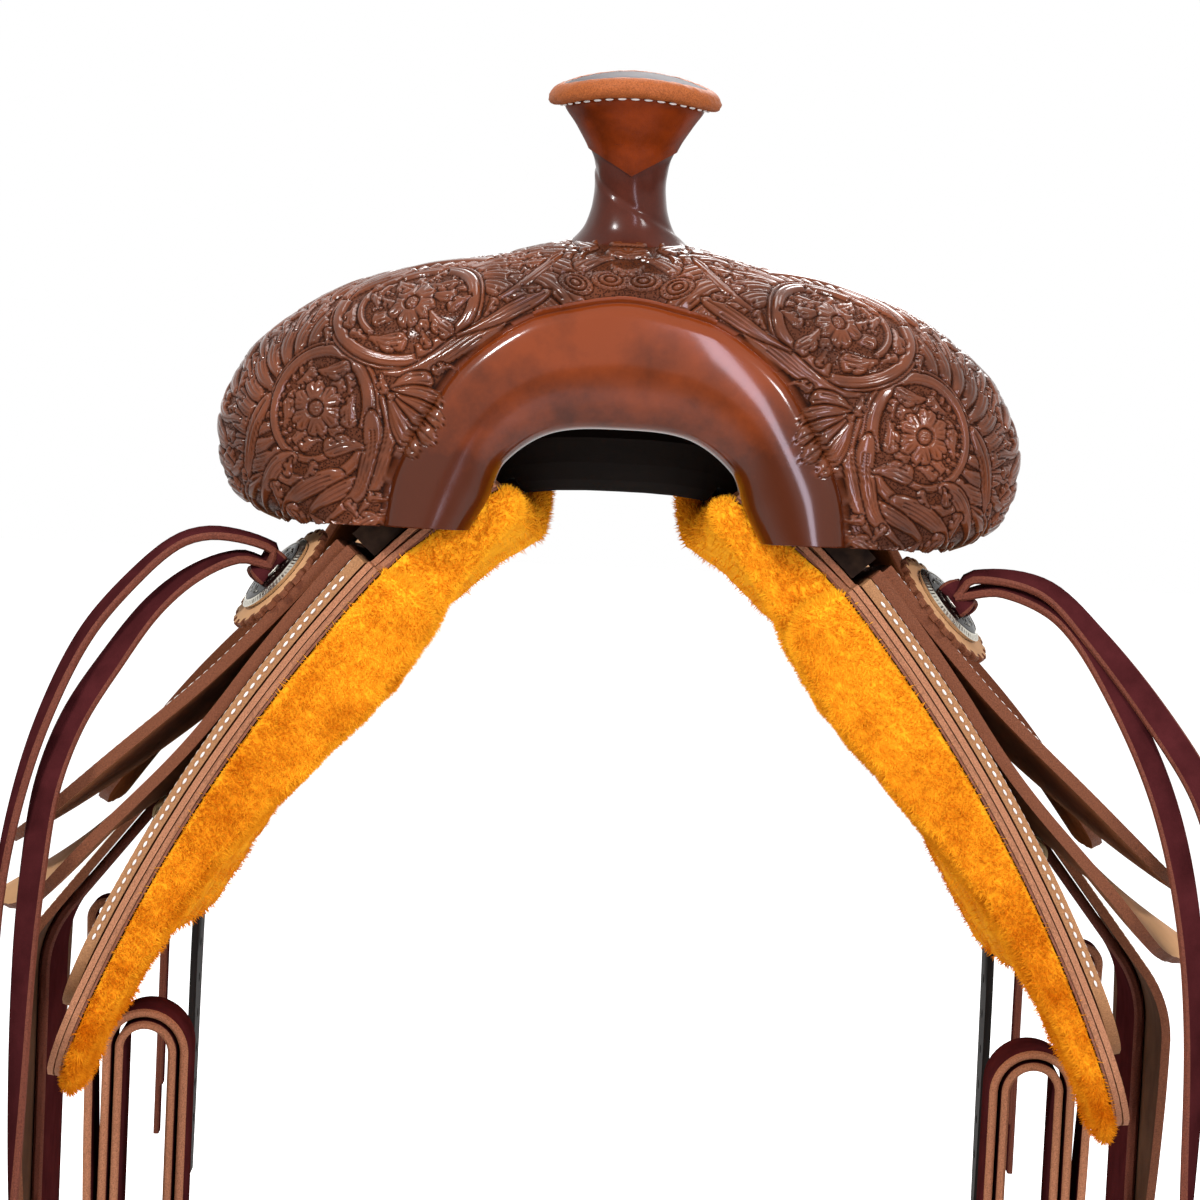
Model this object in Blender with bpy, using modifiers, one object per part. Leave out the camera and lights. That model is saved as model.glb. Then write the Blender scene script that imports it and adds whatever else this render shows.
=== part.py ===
"""Ranch saddle: tree, horn, covers, skirts, flaps, rigging, fenders, stirrups and strings.

Metres, +Z up, the front at -Y, the near side at +X. The origin is on the horse's spine
under the middle of the saddle.
"""
from math import cos, pi, radians, sin, sqrt

import bmesh
import bpy
from mathutils import Matrix, Vector

# Clearances between neighbours
GAP = 0.0006
BAR_GAP = 0.0012
WOOD_GAP = 0.0032
SEAT_GAP = 0.0011
STRAP_LIFT = 0.0022
FINE_GAP = 0.0003

# The back that the saddle lies on: two arcs in the cross-section, from the channel outwards
ARCH_TOP = 0.060
CHANNEL_X = 0.052
CHANNEL_DROP = 0.027
SLOPE_START = radians(30)
SLOPE_TURN = radians(50)
TURN_AT = 0.070
LOWER_RADIUS = 0.716
UPPER_RADIUS = TURN_AT / (SLOPE_TURN - SLOPE_START)
FLARE_FRONT = 0.014
FLARE_REAR = 0.012
ROCK = 0.010

# Lengths along the saddle
FRONT_Y = -0.270
REAR_Y = 0.415
FORK_FRONT_Y = -0.262
FORK_WIDEST_Y = -0.203
FORK_BACK_Y = -0.142
SEAT_FRONT_Y = -0.132
CANTLE_TOP_Y = 0.262
FENDER_Y = -0.030

# Leather and wood thicknesses
SKIRT_T = 0.0070
FLEECE_T = 0.0180
PLATE_T = 0.0050
FLAP_T = 0.0048
JOCKEY_T = 0.0046
COVER_T = 0.0040
SEAT_T = 0.0046
STRAP_T = 0.0050
FENDER_T = 0.0042
LATIGO_T = 0.0038

# Depths of the skirt along the slope
SKIRT_DEEP = 0.332
SKIRT_SHALLOW = 0.262

# Fork outline in the front view, (x, height over the arch), near half
SWELL_OUTLINE = ((0, .0810), (.022, .0800), (.060, .0710), (.090, .0655), (.127, .0530), (.161, .0280),
                 (.174, .0050), (.1765, -.0080), (.173, -.0290), (.163, -.0410), (.148, -.0470))
BAND_OUTLINE = ((0, .0560), (.020, .0530), (.043, .0460), (.069, .0260), (.084, .0020), (.096, -.0210),
                (.100, -.0460))
ARCH_OUTLINE = ((0, .0010), (.030, -.0020), (.050, -.0160), (.057, -.0330), (.064, -.0460))

# Horn, radii and heights over the arch along its own leaning axis
HORN_LEAN = radians(5)
HORN_FOOT = 0.0783
NECK_BASE = 0.0815
NECK_WAIST = 0.107
WRAP_JOINT = 0.111
CONE_MIDDLE = 0.124
CONE_TOP = 0.1395
CAP_TOP = 0.152
CAP_RADIUS = 0.038
CONE_RADIUS = 0.030
WAIST_RADIUS = 0.0156
FLARE_RADIUS = 0.0225
WRAP_T = 0.0035

# Seat and cantle
SEAT_LOW = -0.018
SEAT_FRONT_RISE = 0.036
CANTLE_RISE = 0.083
SEAT_EDGE_S = 0.095
SEAT_EDGE_D = 0.0406
CANTLE_SIDE_Y = 0.115
CANTLE_BOARD_T = 0.014

# Stirrup
SWING_LINE_SLOPE = radians(52)
HANG_X = 0.262
BOLT_Z = -0.560
BOLT_RADIUS = 0.004
STIRRUP_HEIGHT = 0.135
STIRRUP_WIDTH = 0.118

# Ring, latigo and billet
RING_RADIUS = 0.030
RING_WIRE = 0.0036
RING_FLAT = 0.86
RING_LIFT = 0.0028
KEEPER_T = 0.0022
FRONT_RING_Y = -0.160
REAR_RING_Y = 0.205
LATIGO_HALF_WIDTH = 0.020
LATIGO_PITCH = 0.0056
LATIGO_REACH_X = 0.224
LATIGO_TOP_Z = -0.2770
LATIGO_STRAIGHT = 0.112
LATIGO_HALF = 0.0175
HOOK_HALF = 0.0085
HOOK_GAP = 0.0020
BILLET_DROP = 0.190
BUCKLE_WIRE = 0.0026

# Concho
CONCHO_RADIUS = 0.020
ROSETTE_RADIUS = 0.0285
CONCHO_SLOT_RADIUS = 0.0030
CONCHO_LIFT = 0.0097
STRING_HALF = 0.0060
STRING_T = 0.0030

# The rows that every sheet on the back shares, close together where the outline turns
RECESS_Y = FORK_FRONT_Y + 0.0115
MIDDLE_ROWS = 17

SIDES = (("near", 1), ("off", -1))


def clear_scene():
    for thing in list(bpy.data.objects):
        bpy.data.objects.remove(thing, do_unlink=True)


clear_scene()
SADDLE = bpy.data.collections.new("ranch_saddle")
CUTTERS = bpy.data.collections.new("cutters")
bpy.context.scene.collection.children.link(SADDLE)
bpy.context.scene.collection.children.link(CUTTERS)


def material(name, color, roughness, metallic=0.0):
    made = bpy.data.materials.new(name)
    made.use_nodes = True
    shader = made.node_tree.nodes["Principled BSDF"]
    shader.inputs["Base Color"].default_value = (*color, 1.0)
    shader.inputs["Roughness"].default_value = roughness
    shader.inputs["Metallic"].default_value = metallic
    return made


CARVED = material("carved_leather", (0.16, 0.045, 0.02), 0.4)
SMOOTH = material("smooth_leather", (0.20, 0.06, 0.02), 0.35)
NATURAL = material("natural_leather", (0.62, 0.38, 0.20), 0.6)
EDGED = material("edged_leather", (0.25, 0.10, 0.05), 0.6)
BURGUNDY = material("burgundy_leather", (0.07, 0.02, 0.02), 0.4)
FLEECE = material("fleece", (0.85, 0.32, 0.02), 0.95)
CHROME = material("chrome", (0.8, 0.8, 0.8), 0.15, 1.0)
SILVER = material("silver", (0.7, 0.66, 0.55), 0.3, 1.0)
RAWHIDE = material("rawhide", (0.75, 0.62, 0.35), 0.6)
WOOD = material("tree_wood", (0.55, 0.42, 0.25), 0.7)
BLACK = material("black_leather", (0.02, 0.02, 0.02), 0.5)


def put(name, mesh, finish, collection=SADDLE):
    made = bpy.data.objects.new(name, mesh)
    mesh.materials.append(finish)
    collection.objects.link(made)
    return made


def cutter(made):
    made.hide_render = True
    made.display_type = "WIRE"
    return made


def hang(point, side, *names):
    """Move the origins of pieces to the line that they turn about, leaving them where they are."""
    spot = Vector((side * point[0], point[1], point[2]))
    for name in names:
        made = SADDLE.objects[name]
        made.data.transform(Matrix.Translation(-spot))
        made.location = spot


def spread(low, high, count):
    return [low + (high - low) * k / count for k in range(count + 1)]


STATIONS = [FRONT_Y, FRONT_Y + 0.008, RECESS_Y - 0.0015, RECESS_Y + 0.0045]
STATIONS += spread(RECESS_Y + 0.030, REAR_Y - 0.045, MIDDLE_ROWS)
STATIONS += [REAR_Y - 0.020, REAR_Y]


def smooth(t):
    t = min(max(t, 0.0), 1.0)
    return t * t * (3 - 2 * t)


def between(a, b, t):
    return a + (b - a) * t


def flare(y):
    """How far the back stands in or out of its front section, along the normal."""
    front = smooth((y - FRONT_Y) / 0.250)
    rear = smooth((y - 0.160) / (REAR_Y - 0.160))
    return -FLARE_FRONT * front + FLARE_REAR * rear


def rock(y):
    middle = (FRONT_Y + REAR_Y) / 2
    half = (REAR_Y - FRONT_Y) / 2
    return ROCK * (((y - middle) / half) ** 2 - 1)


def slope(s):
    if s < TURN_AT:
        return SLOPE_START + s / UPPER_RADIUS
    return SLOPE_TURN + (s - TURN_AT) / LOWER_RADIUS


def back_point(s, y, d):
    """A point s down the slope from the channel's edge and d out from under the skirt."""
    angle = slope(s)
    if s < TURN_AT:
        x = CHANNEL_X + UPPER_RADIUS * (sin(angle) - sin(SLOPE_START))
        z = -CHANNEL_DROP - UPPER_RADIUS * (cos(SLOPE_START) - cos(angle))
    else:
        x = CHANNEL_X + UPPER_RADIUS * (sin(SLOPE_TURN) - sin(SLOPE_START))
        z = -CHANNEL_DROP - UPPER_RADIUS * (cos(SLOPE_START) - cos(SLOPE_TURN))
        x += LOWER_RADIUS * (sin(angle) - sin(SLOPE_TURN))
        z -= LOWER_RADIUS * (cos(SLOPE_TURN) - cos(angle))
    out = d + flare(y)
    return Vector((x + out * sin(angle), y, ARCH_TOP + z + out * cos(angle) + rock(y)))


def height_over(x, y, d):
    """The height at x of the surface that lies d out from under the skirt."""
    low, high = -0.10, 0.40
    for _ in range(40):
        middle = (low + high) / 2
        if back_point(middle, y, d).x < x:
            low = middle
        else:
            high = middle
    return back_point(low, y, d).z


def grid(name, columns, rows, where, facing):
    """An open surface of columns by rows; where(u, v) places it and facing(point) is its outer way."""
    mesh = bpy.data.meshes.new(name)
    shape = bmesh.new()
    bmesh.ops.create_grid(shape, x_segments=columns, y_segments=rows, size=1.0)
    for vertex in shape.verts:
        vertex.co = where((vertex.co.x + 1) / 2, (vertex.co.y + 1) / 2)
    shape.normal_update()
    outward = sum(face.normal.dot(facing(face.calc_center_median())) * face.calc_area()
                  for face in shape.faces)
    if outward < 0:
        bmesh.ops.reverse_faces(shape, faces=shape.faces)
    shape.to_mesh(mesh)
    shape.free()
    return mesh


def thicken(made, thickness, outward=True):
    wall = made.modifiers.new("wall", "SOLIDIFY")
    wall.thickness = thickness
    wall.offset = 1.0 if outward else -1.0
    wall.use_rim = True
    return made


def smooth_path(points, t):
    """A point at share t of the length of a smooth curve through the points."""
    spots = [Vector(p) for p in points]
    lengths = [0.0]
    for a, b in zip(spots, spots[1:]):
        lengths.append(lengths[-1] + (b - a).length)
    target = min(max(t, 0.0), 1.0) * lengths[-1]
    k = 0
    while k < len(spots) - 2 and lengths[k + 1] < target:
        k += 1
    span = lengths[k + 1] - lengths[k]
    f = (target - lengths[k]) / span
    p1, p2 = spots[k], spots[k + 1]
    if k > 0:
        before = (p2 - spots[k - 1]) / (lengths[k + 1] - lengths[k - 1]) * span
    else:
        before = p2 - p1
    if k < len(spots) - 2:
        after = (spots[k + 2] - p1) / (lengths[k + 2] - lengths[k]) * span
    else:
        after = p2 - p1
    h00 = 2 * f ** 3 - 3 * f ** 2 + 1
    h10 = f ** 3 - 2 * f ** 2 + f
    h01 = -2 * f ** 3 + 3 * f ** 2
    h11 = f ** 3 - f ** 2
    return p1 * h00 + before * h10 + p2 * h01 + after * h11


def corner(distance, radius):
    """How far a round corner pulls the edge in at a distance from the end."""
    if distance >= radius:
        return 0.0
    return radius - sqrt(max(radius ** 2 - (radius - distance) ** 2, 0.0))


def outside(side):
    return lambda point: Vector((side * 0.85, 0, 0.53))


def panel(name, side, stations, top, bottom, inner, thickness, columns, finish, warp=1.25, outward=True):
    """A sheet on the back surface between two edges, its inner face at depth inner(s, y)."""
    last = len(stations) - 1

    def where(u, v):
        k = round(v * last)
        y = stations[k]
        s = between(top(y), bottom(y), u ** warp)
        spot = back_point(s, y, inner(s, y))
        return Vector((side * spot.x, spot.y, spot.z))

    mesh = grid(name, columns, last, where, outside(side))
    return thicken(put(name, mesh, finish), thickness, outward)


def stations_between(low, high):
    inner = [y for y in STATIONS if low + 0.004 < y < high - 0.004]
    return [low, *inner, high]


def skirt_top(y):
    return 0.062 if y < RECESS_Y else 0.0


def skirt_bottom(y):
    depth = SKIRT_DEEP - (SKIRT_DEEP - SKIRT_SHALLOW) * smooth((y + 0.225) / 0.060)
    return depth - corner(y - FRONT_Y, 0.045) - corner(REAR_Y - y, 0.080)


def bar_top(s):
    return 0.0125 + 0.0095 * sin(pi * min(max(s / 0.12, 0.0), 1.0))


def bar_bottom(y):
    return 0.060 + 0.050 * smooth((y + 0.115) / 0.030)


def add_skirts():
    for label, side in SIDES:
        panel(f"skirt_{label}", side, STATIONS, skirt_top, skirt_bottom,
              lambda s, y: 0.0, SKIRT_T, 8, EDGED)
        panel(f"skirt_fleece_{label}", side, STATIONS, skirt_top, lambda y: skirt_bottom(y) - 0.002,
              lambda s, y: -GAP, FLEECE_T, 8, FLEECE, outward=False)


def plate_bottom(y):
    return 0.300 - 0.040 * smooth((y + 0.215) / 0.060) - corner(y + 0.268, 0.040) - corner(-0.030 - y, 0.050)


def add_rigging_plates():
    rows = stations_between(-0.268, -0.075)
    for label, side in SIDES:
        panel(f"rigging_plate_{label}", side, rows, lambda y: bar_bottom(y) + 0.0035, plate_bottom,
              lambda s, y: SKIRT_T + GAP + FINE_GAP, PLATE_T, 7, NATURAL)


def flap_lift(s, start, rate):
    return rate * max(s - start, 0.0) ** 2


LOWER_FLAP_D = SKIRT_T + PLATE_T + 2 * GAP + FINE_GAP
UPPER_FLAP_D = LOWER_FLAP_D + FLAP_T + GAP


LOWER_JOCKEY_REAR = -0.150


def lower_flap_d(s, y):
    return LOWER_FLAP_D + flap_lift(s, 0.135, 2.4)


def upper_flap_d(s, y):
    return UPPER_FLAP_D + flap_lift(s, 0.075, 1.5)


def lower_flap_end(y):
    return 0.275 - corner(y + 0.264, 0.050) - corner(LOWER_JOCKEY_REAR - y, 0.080)


def upper_flap_end(y):
    return 0.248 - corner(y + 0.256, 0.035) - corner(-0.120 - y, 0.096)


def add_front_jockeys():
    for label, side in SIDES:
        panel(f"lower_jockey_{label}", side, stations_between(-0.264, LOWER_JOCKEY_REAR), lambda y: 0.0635,
              lower_flap_end, lower_flap_d, FLAP_T, 7, NATURAL)
        panel(f"front_jockey_{label}", side, stations_between(-0.256, -0.120), lambda y: 0.0650,
              upper_flap_end, upper_flap_d, FLAP_T, 6, NATURAL)


def seat_jockey_d(s, y):
    return SEAT_EDGE_D - JOCKEY_T + 0.150 * max(s - SEAT_EDGE_S, 0.0)


def seat_jockey_end(y):
    return 0.238 - corner(y + 0.110, 0.060) - corner(0.150 - y, 0.110)


def rear_jockey_top(y):
    return between(0.120, -0.0525, smooth((y - 0.165) / 0.090))


def rear_jockey_end(y):
    return 0.195 - corner(y - 0.165, 0.060) - corner(0.380 - y, 0.110)


REAR_JOCKEY_D = 0.0262


def add_seat_and_rear_jockeys():
    for label, side in SIDES:
        panel(f"seat_jockey_{label}", side, stations_between(-0.110, 0.150), lambda y: SEAT_EDGE_S + 0.0015,
              seat_jockey_end, seat_jockey_d, JOCKEY_T, 6, NATURAL)
        panel(f"rear_jockey_{label}", side, stations_between(0.165, 0.380), rear_jockey_top,
              rear_jockey_end, lambda s, y: REAR_JOCKEY_D, JOCKEY_T, 10, NATURAL)


def add_bars():
    """Each bar is a bent board: its underside lies on the skirt and its top is crowned."""
    rows = stations_between(-0.240, 0.340)
    columns = 6
    for label, side in SIDES:
        def where(u, v, side=side):
            y = rows[round(v * (len(rows) - 1))]
            s = between(0.004, bar_bottom(y), u)
            spot = back_point(s, y, SKIRT_T + BAR_GAP)
            return Vector((side * spot.x, spot.y, spot.z))

        mesh = grid(f"tree_bar_{label}", columns, len(rows) - 1, where, outside(side))
        shape = bmesh.new()
        shape.from_mesh(mesh)
        bottom = list(shape.faces)
        raised = bmesh.ops.extrude_face_region(shape, geom=bottom, use_keep_orig=True)
        for item in raised["geom"]:
            if isinstance(item, bmesh.types.BMVert):
                s = bar_share(item.co, side)
                spot = back_point(s, item.co.y, bar_top(s))
                item.co = Vector((side * spot.x, spot.y, spot.z))
        bmesh.ops.recalc_face_normals(shape, faces=shape.faces)
        shape.to_mesh(mesh)
        shape.free()
        put(f"tree_bar_{label}", mesh, WOOD)


def bar_share(point, side):
    """The slope length of a point on the bar's underside, found from its x."""
    low, high = -0.02, 0.40
    for _ in range(40):
        middle = (low + high) / 2
        if back_point(middle, point.y, SKIRT_T + BAR_GAP).x < side * point.x:
            low = middle
        else:
            high = middle
    return low


def stack_cutter(name, low_s, high_s, first_y, last_y):
    """A solid that fills everything under the bars' tops, with a gap, on both sides."""
    rows = stations_between(first_y, last_y)
    made = []
    for label, side in SIDES:
        def where(u, v, side=side):
            y = rows[round(v * (len(rows) - 1))]
            s = between(low_s, high_s, u)
            spot = back_point(s, y, bar_top(s) + GAP)
            return Vector((side * spot.x, spot.y, spot.z))

        mesh = grid(f"{name}_{label}", 8, len(rows) - 1, where, outside(side))
        block = cutter(put(f"{name}_{label}", mesh, WOOD, CUTTERS))
        made.append(thicken(block, 0.060, False))
    return made


def cut(made, tools):
    for tool in tools:
        change = made.modifiers.new(f"cut_{tool.name}", "BOOLEAN")
        change.operation = "DIFFERENCE"
        change.solver = "EXACT"
        change.object = tool
    return made


def swell_point(phi, t, inset=0.0):
    """The fork's outer skin: phi runs -1..1 over the arch, t from the front border to the back."""
    share = abs(phi)
    side = 1 if phi >= 0 else -1
    border = smooth_path([(x, 0, z) for x, z in BAND_OUTLINE], share)
    outer = smooth_path([(x, 0, z) for x, z in SWELL_OUTLINE], share)
    reach = (outer - border).length
    scale = (reach - inset) / reach
    front = FORK_WIDEST_Y - FORK_FRONT_Y - inset
    back = FORK_BACK_Y - FORK_WIDEST_Y - inset
    if t < 0.5:
        angle = pi * t
        out = sin(angle)
        y = FORK_WIDEST_Y - front * cos(angle)
    else:
        angle = pi * (t - 0.5)
        out = between(0.25, 1.0, cos(angle))
        y = FORK_WIDEST_Y + back * sin(angle)
    spot = border + (outer - border) * (out * scale)
    return Vector((side * spot.x, y, ARCH_TOP + spot.z))


def band_point(phi, e, y, inset=0.0):
    """The plain band: e runs from its outer border to the arch's edge."""
    share = abs(phi)
    side = 1 if phi >= 0 else -1
    border = smooth_path([(x, 0, z) for x, z in BAND_OUTLINE], share)
    arch = smooth_path([(x, 0, z) for x, z in ARCH_OUTLINE], share)
    way = (border - arch).normalized()
    spot = border + (arch - border) * e + way * inset
    return Vector((side * spot.x, y, ARCH_TOP + spot.z))


BAND_SECTION = ((0.012, 0.0025), (0.12, -0.0015), (0.45, -0.0040), (0.80, -0.0015), (0.96, 0.0040),
                (1.0, 0.0110), (1.0, 0.0480))


def add_fork():
    stack = stack_cutter("under_fork", -0.004, 0.115, -0.2505, 0.400)
    rows = 26

    def swell(u, v):
        return swell_point(2 * v - 1, between(0.012, 1.0, u))

    mesh = grid("swell_cover", 12, rows, swell, lambda p: Vector((p.x, p.y - FORK_WIDEST_Y, p.z - ARCH_TOP)))
    cover = thicken(put("swell_cover", mesh, CARVED), COVER_T, False)
    hole = bpy.data.meshes.new("horn_hole")
    shape = bmesh.new()
    bmesh.ops.create_cone(shape, cap_ends=True, segments=24, radius1=0.0150, radius2=0.0150, depth=0.08)
    shape.to_mesh(hole)
    shape.free()
    drill = cutter(put("horn_hole", hole, WOOD, CUTTERS))
    drill.location = (0, FORK_WIDEST_Y, ARCH_TOP + NECK_BASE)
    drill.rotation_euler = (HORN_LEAN, 0, 0)
    cut(cover, [drill])

    def band(u, v):
        e, depth = BAND_SECTION[round(u * (len(BAND_SECTION) - 1))]
        return band_point(2 * v - 1, e, FORK_FRONT_Y + depth)

    mesh = grid("gullet_cover", len(BAND_SECTION) - 1, 22, band,
                lambda p: Vector((-p.x, -0.4, -(p.z - ARCH_TOP + 0.03))))
    gullet = thicken(put("gullet_cover", mesh, SMOOTH), COVER_T, False)
    cut(gullet, stack)
    add_fork_wood(stack)


def add_fork_wood(stack):
    """The wooden arch inside the covers, a closed loft over the gullet."""
    inset = COVER_T + WOOD_GAP
    rows = 22
    around = 14
    mesh = bpy.data.meshes.new("tree_fork")
    shape = bmesh.new()
    loops = []
    for i in range(rows + 1):
        phi = between(-0.90, 0.90, i / rows)
        loop = [swell_point(phi, between(0.03, 1.0, k / 8), inset) for k in range(9)]
        loop.append(band_point(phi, 0.75, FORK_BACK_Y - inset - 0.012))
        loop.append(band_point(phi, 1.0, FORK_BACK_Y - inset - 0.030, inset))
        loop.append(band_point(phi, 1.0, FORK_FRONT_Y + 0.030, inset))
        loop.append(band_point(phi, 0.90, FORK_FRONT_Y + 0.0145, inset))
        loop.append(band_point(phi, 0.45, FORK_FRONT_Y + 0.0090, 0))
        loops.append([shape.verts.new(spot) for spot in loop])
    for a, b in zip(loops, loops[1:]):
        for k in range(around):
            n = (k + 1) % around
            shape.faces.new((a[k], a[n], b[n], b[k]))
    shape.faces.new(loops[0])
    shape.faces.new(list(reversed(loops[-1])))
    bmesh.ops.recalc_face_normals(shape, faces=shape.faces)
    shape.to_mesh(mesh)
    shape.free()
    cut(put("tree_fork", mesh, WOOD), stack)


def turned(name, profile, finish, steps=24, place=Matrix.Identity(4)):
    """A closed body turned about its own Z from (radius, height) points, top to bottom."""
    mesh = bpy.data.meshes.new(name)
    shape = bmesh.new()
    spots = [shape.verts.new((radius, 0, height)) for radius, height in profile]
    for a, b in zip(spots, spots[1:]):
        shape.edges.new((a, b))
    if profile[0][0] > 0:
        shape.edges.new((spots[-1], spots[0]))
    shape.to_mesh(mesh)
    shape.free()
    made = put(name, mesh, finish)
    screw = made.modifiers.new("turn", "SCREW")
    screw.axis = "Z"
    screw.steps = steps
    screw.render_steps = steps
    screw.use_merge_vertices = True
    screw.merge_threshold = 0.00005
    made.matrix_world = place
    return made


def horn_place():
    lean = Matrix.Rotation(HORN_LEAN, 4, "X")
    foot = Vector((0, FORK_WIDEST_Y, ARCH_TOP + NECK_BASE))
    return Matrix.Translation(foot) @ lean


def add_horn():
    place = horn_place()

    def up(height):
        return height - NECK_BASE

    core = WAIST_RADIUS - WRAP_T - FINE_GAP
    middle = (CONE_RADIUS + WAIST_RADIUS) / 2 - 0.003
    turned("horn_core", (
        (0, up(CAP_TOP) - 0.0042), (CAP_RADIUS - 0.0048, up(CAP_TOP) - 0.0042),
        (CAP_RADIUS - 0.0050, up(CONE_TOP) + 0.0052), (CONE_RADIUS - 0.001, up(CONE_TOP) + 0.0026),
        (CONE_RADIUS - WRAP_T - FINE_GAP, up(CONE_TOP)),
        (middle - WRAP_T - FINE_GAP, up(CONE_MIDDLE)), (core, up(WRAP_JOINT) + 0.0005),
        (core, up(HORN_FOOT)), (0, up(HORN_FOOT))), WOOD, 20, place)
    turned("horn_upper_wrap", (
        (CONE_RADIUS, up(CONE_TOP)), (middle, up(CONE_MIDDLE)), (WAIST_RADIUS + 0.0012, up(WRAP_JOINT) + FINE_GAP),
        (core + FINE_GAP + 0.0004, up(WRAP_JOINT) + FINE_GAP), (middle - WRAP_T, up(CONE_MIDDLE)),
        (CONE_RADIUS - WRAP_T, up(CONE_TOP))), SMOOTH, 20, place)
    turned("horn_neck_wrap", (
        (WAIST_RADIUS + 0.0012, up(WRAP_JOINT)), (WAIST_RADIUS, up(NECK_WAIST)),
        (WAIST_RADIUS + 0.0020, up(0.095)), (FLARE_RADIUS, 0.0008), (core + FINE_GAP, 0.0008),
        (core + FINE_GAP, up(WRAP_JOINT))), BURGUNDY, 20, place)
    turned("horn_cap_leather", (
        (0, up(CAP_TOP)), (CAP_RADIUS - 0.004, up(CAP_TOP)), (CAP_RADIUS, up(CAP_TOP) - 0.003),
        (CAP_RADIUS, up(CONE_TOP) + 0.0045), (CAP_RADIUS - 0.0030, up(CONE_TOP) + 0.0016),
        (CONE_RADIUS + 0.0030, up(CONE_TOP) + 0.0006), (CONE_RADIUS + 0.0002, up(CONE_TOP) + 0.0018),
        (CAP_RADIUS - 0.0045, up(CONE_TOP) + 0.0042),
        (CAP_RADIUS - 0.0045, up(CAP_TOP) - 0.0039), (0, up(CAP_TOP) - 0.0039)), EDGED, 20, place)


def seat_point(u, v):
    """The seat's top face: u runs -1..1 across, v from behind the fork to the cantle's rim."""
    share = abs(u)
    side_y = between(SEAT_FRONT_Y + 0.022, CANTLE_SIDE_Y, v)
    edge = back_point(SEAT_EDGE_S, side_y, SEAT_EDGE_D)
    middle_y = between(SEAT_FRONT_Y, CANTLE_TOP_Y, v)
    if v < 0.45:
        middle_z = SEAT_LOW + SEAT_FRONT_RISE * ((0.45 - v) / 0.45) ** 2
    else:
        middle_z = SEAT_LOW + CANTLE_RISE * ((v - 0.45) / 0.55) ** 3
    drop = share ** between(3.0, 2.2, smooth((v - 0.5) / 0.5))
    spot = Vector((edge.x * share, between(middle_y, edge.y, share ** 2),
                   between(ARCH_TOP + middle_z, edge.z, drop)))
    if u < 0:
        spot.x = -spot.x
    return spot


def seat_normal(u, v):
    step = 0.01
    low_u, high_u = max(u - step, -1.0), min(u + step, 1.0)
    low_v, high_v = max(v - step, 0.0), min(v + step, 1.0)
    across = seat_point(high_u, v) - seat_point(low_u, v)
    along = seat_point(u, high_v) - seat_point(u, low_v)
    return across.cross(along).normalized()


def under_seat(u, v, depth):
    return seat_point(u, v) - seat_normal(u, v) * depth


def upward(point):
    return Vector((0, -0.2, 1))


ROLL_RADIUS = 0.0125
SEAT_V = (0, .08, .18, .30, .42, .54, .65, .74, .81, .87, .92, .96, 1.0)
GROUND_T = 0.0200


def add_seat():
    stack = stack_cutter("under_seat", -0.004, 0.115, -0.200, 0.330)

    def top(u, v):
        return seat_point(2 * u - 1, SEAT_V[round(v * (len(SEAT_V) - 1))])

    mesh = grid("seat_leather", 16, len(SEAT_V) - 1, top, upward)
    thicken(put("seat_leather", mesh, SMOOTH), SEAT_T, False)

    def ground(u, v):
        return under_seat(between(-0.66, 0.66, u), between(0.02, 0.80, v), SEAT_T + SEAT_GAP)

    mesh = grid("ground_seat", 12, 8, ground, upward)
    base = thicken(put("ground_seat", mesh, WOOD), GROUND_T, False)
    cut(base, stack)

    def board(u, v):
        return under_seat(between(-0.94, 0.94, u), between(0.815, 0.985, v), SEAT_T + SEAT_GAP)

    mesh = grid("tree_cantle", 14, 4, board, upward)
    cantle = thicken(put("tree_cantle", mesh, WOOD), CANTLE_BOARD_T, False)
    cut(cantle, stack)
    add_cantle_back()
    add_cantle_roll()


def add_cantle_back():
    drop = SEAT_T + SEAT_GAP + CANTLE_BOARD_T + GAP

    def back(u, v):
        across = between(-0.86, 0.86, u)
        rim = under_seat(across, 0.975, drop)
        rim.y += 0.0015
        floor = height_over(max(abs(rim.x), 0.004), rim.y, 0.0325)
        foot = Vector((rim.x * 0.99, rim.y - 0.012, min(floor, rim.z - 0.004)))
        return rim.lerp(foot, v)

    mesh = grid("cantle_back", 16, 3, back, lambda p: Vector((p.x, p.y, 0.02)))
    thicken(put("cantle_back", mesh, NATURAL), 0.003, True)


def tube(name, points, radius, finish, cyclic=False, sides=2):
    curve = bpy.data.curves.new(name, "CURVE")
    curve.dimensions = "3D"
    curve.bevel_depth = radius
    curve.bevel_resolution = sides
    curve.use_fill_caps = True
    line = curve.splines.new("POLY")
    line.points.add(len(points) - 1)
    for spot, place in zip(line.points, points):
        spot.co = (*place, 1.0)
    line.use_cyclic_u = cyclic
    made = bpy.data.objects.new(name, curve)
    curve.materials.append(finish)
    SADDLE.objects.link(made)
    return made


def add_cantle_roll():
    """The bound rim that sits on the seat's and the back's top edges."""
    points = []
    for k in range(21):
        u = between(-0.93, 0.93, k / 20)
        rim = seat_point(u, 1.0)
        step = (seat_point(u + 0.01, 1.0) - seat_point(u - 0.01, 1.0)).normalized()
        along = rim - seat_point(u, 0.98)
        along = (along - step * along.dot(step)).normalized()
        under = under_seat(u, 1.0, ROLL_RADIUS - 0.001) - rim
        points.append(rim + along * (ROLL_RADIUS + 0.0010) + under)
    tube("cantle_roll", points, ROLL_RADIUS, NATURAL, sides=3)


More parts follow.
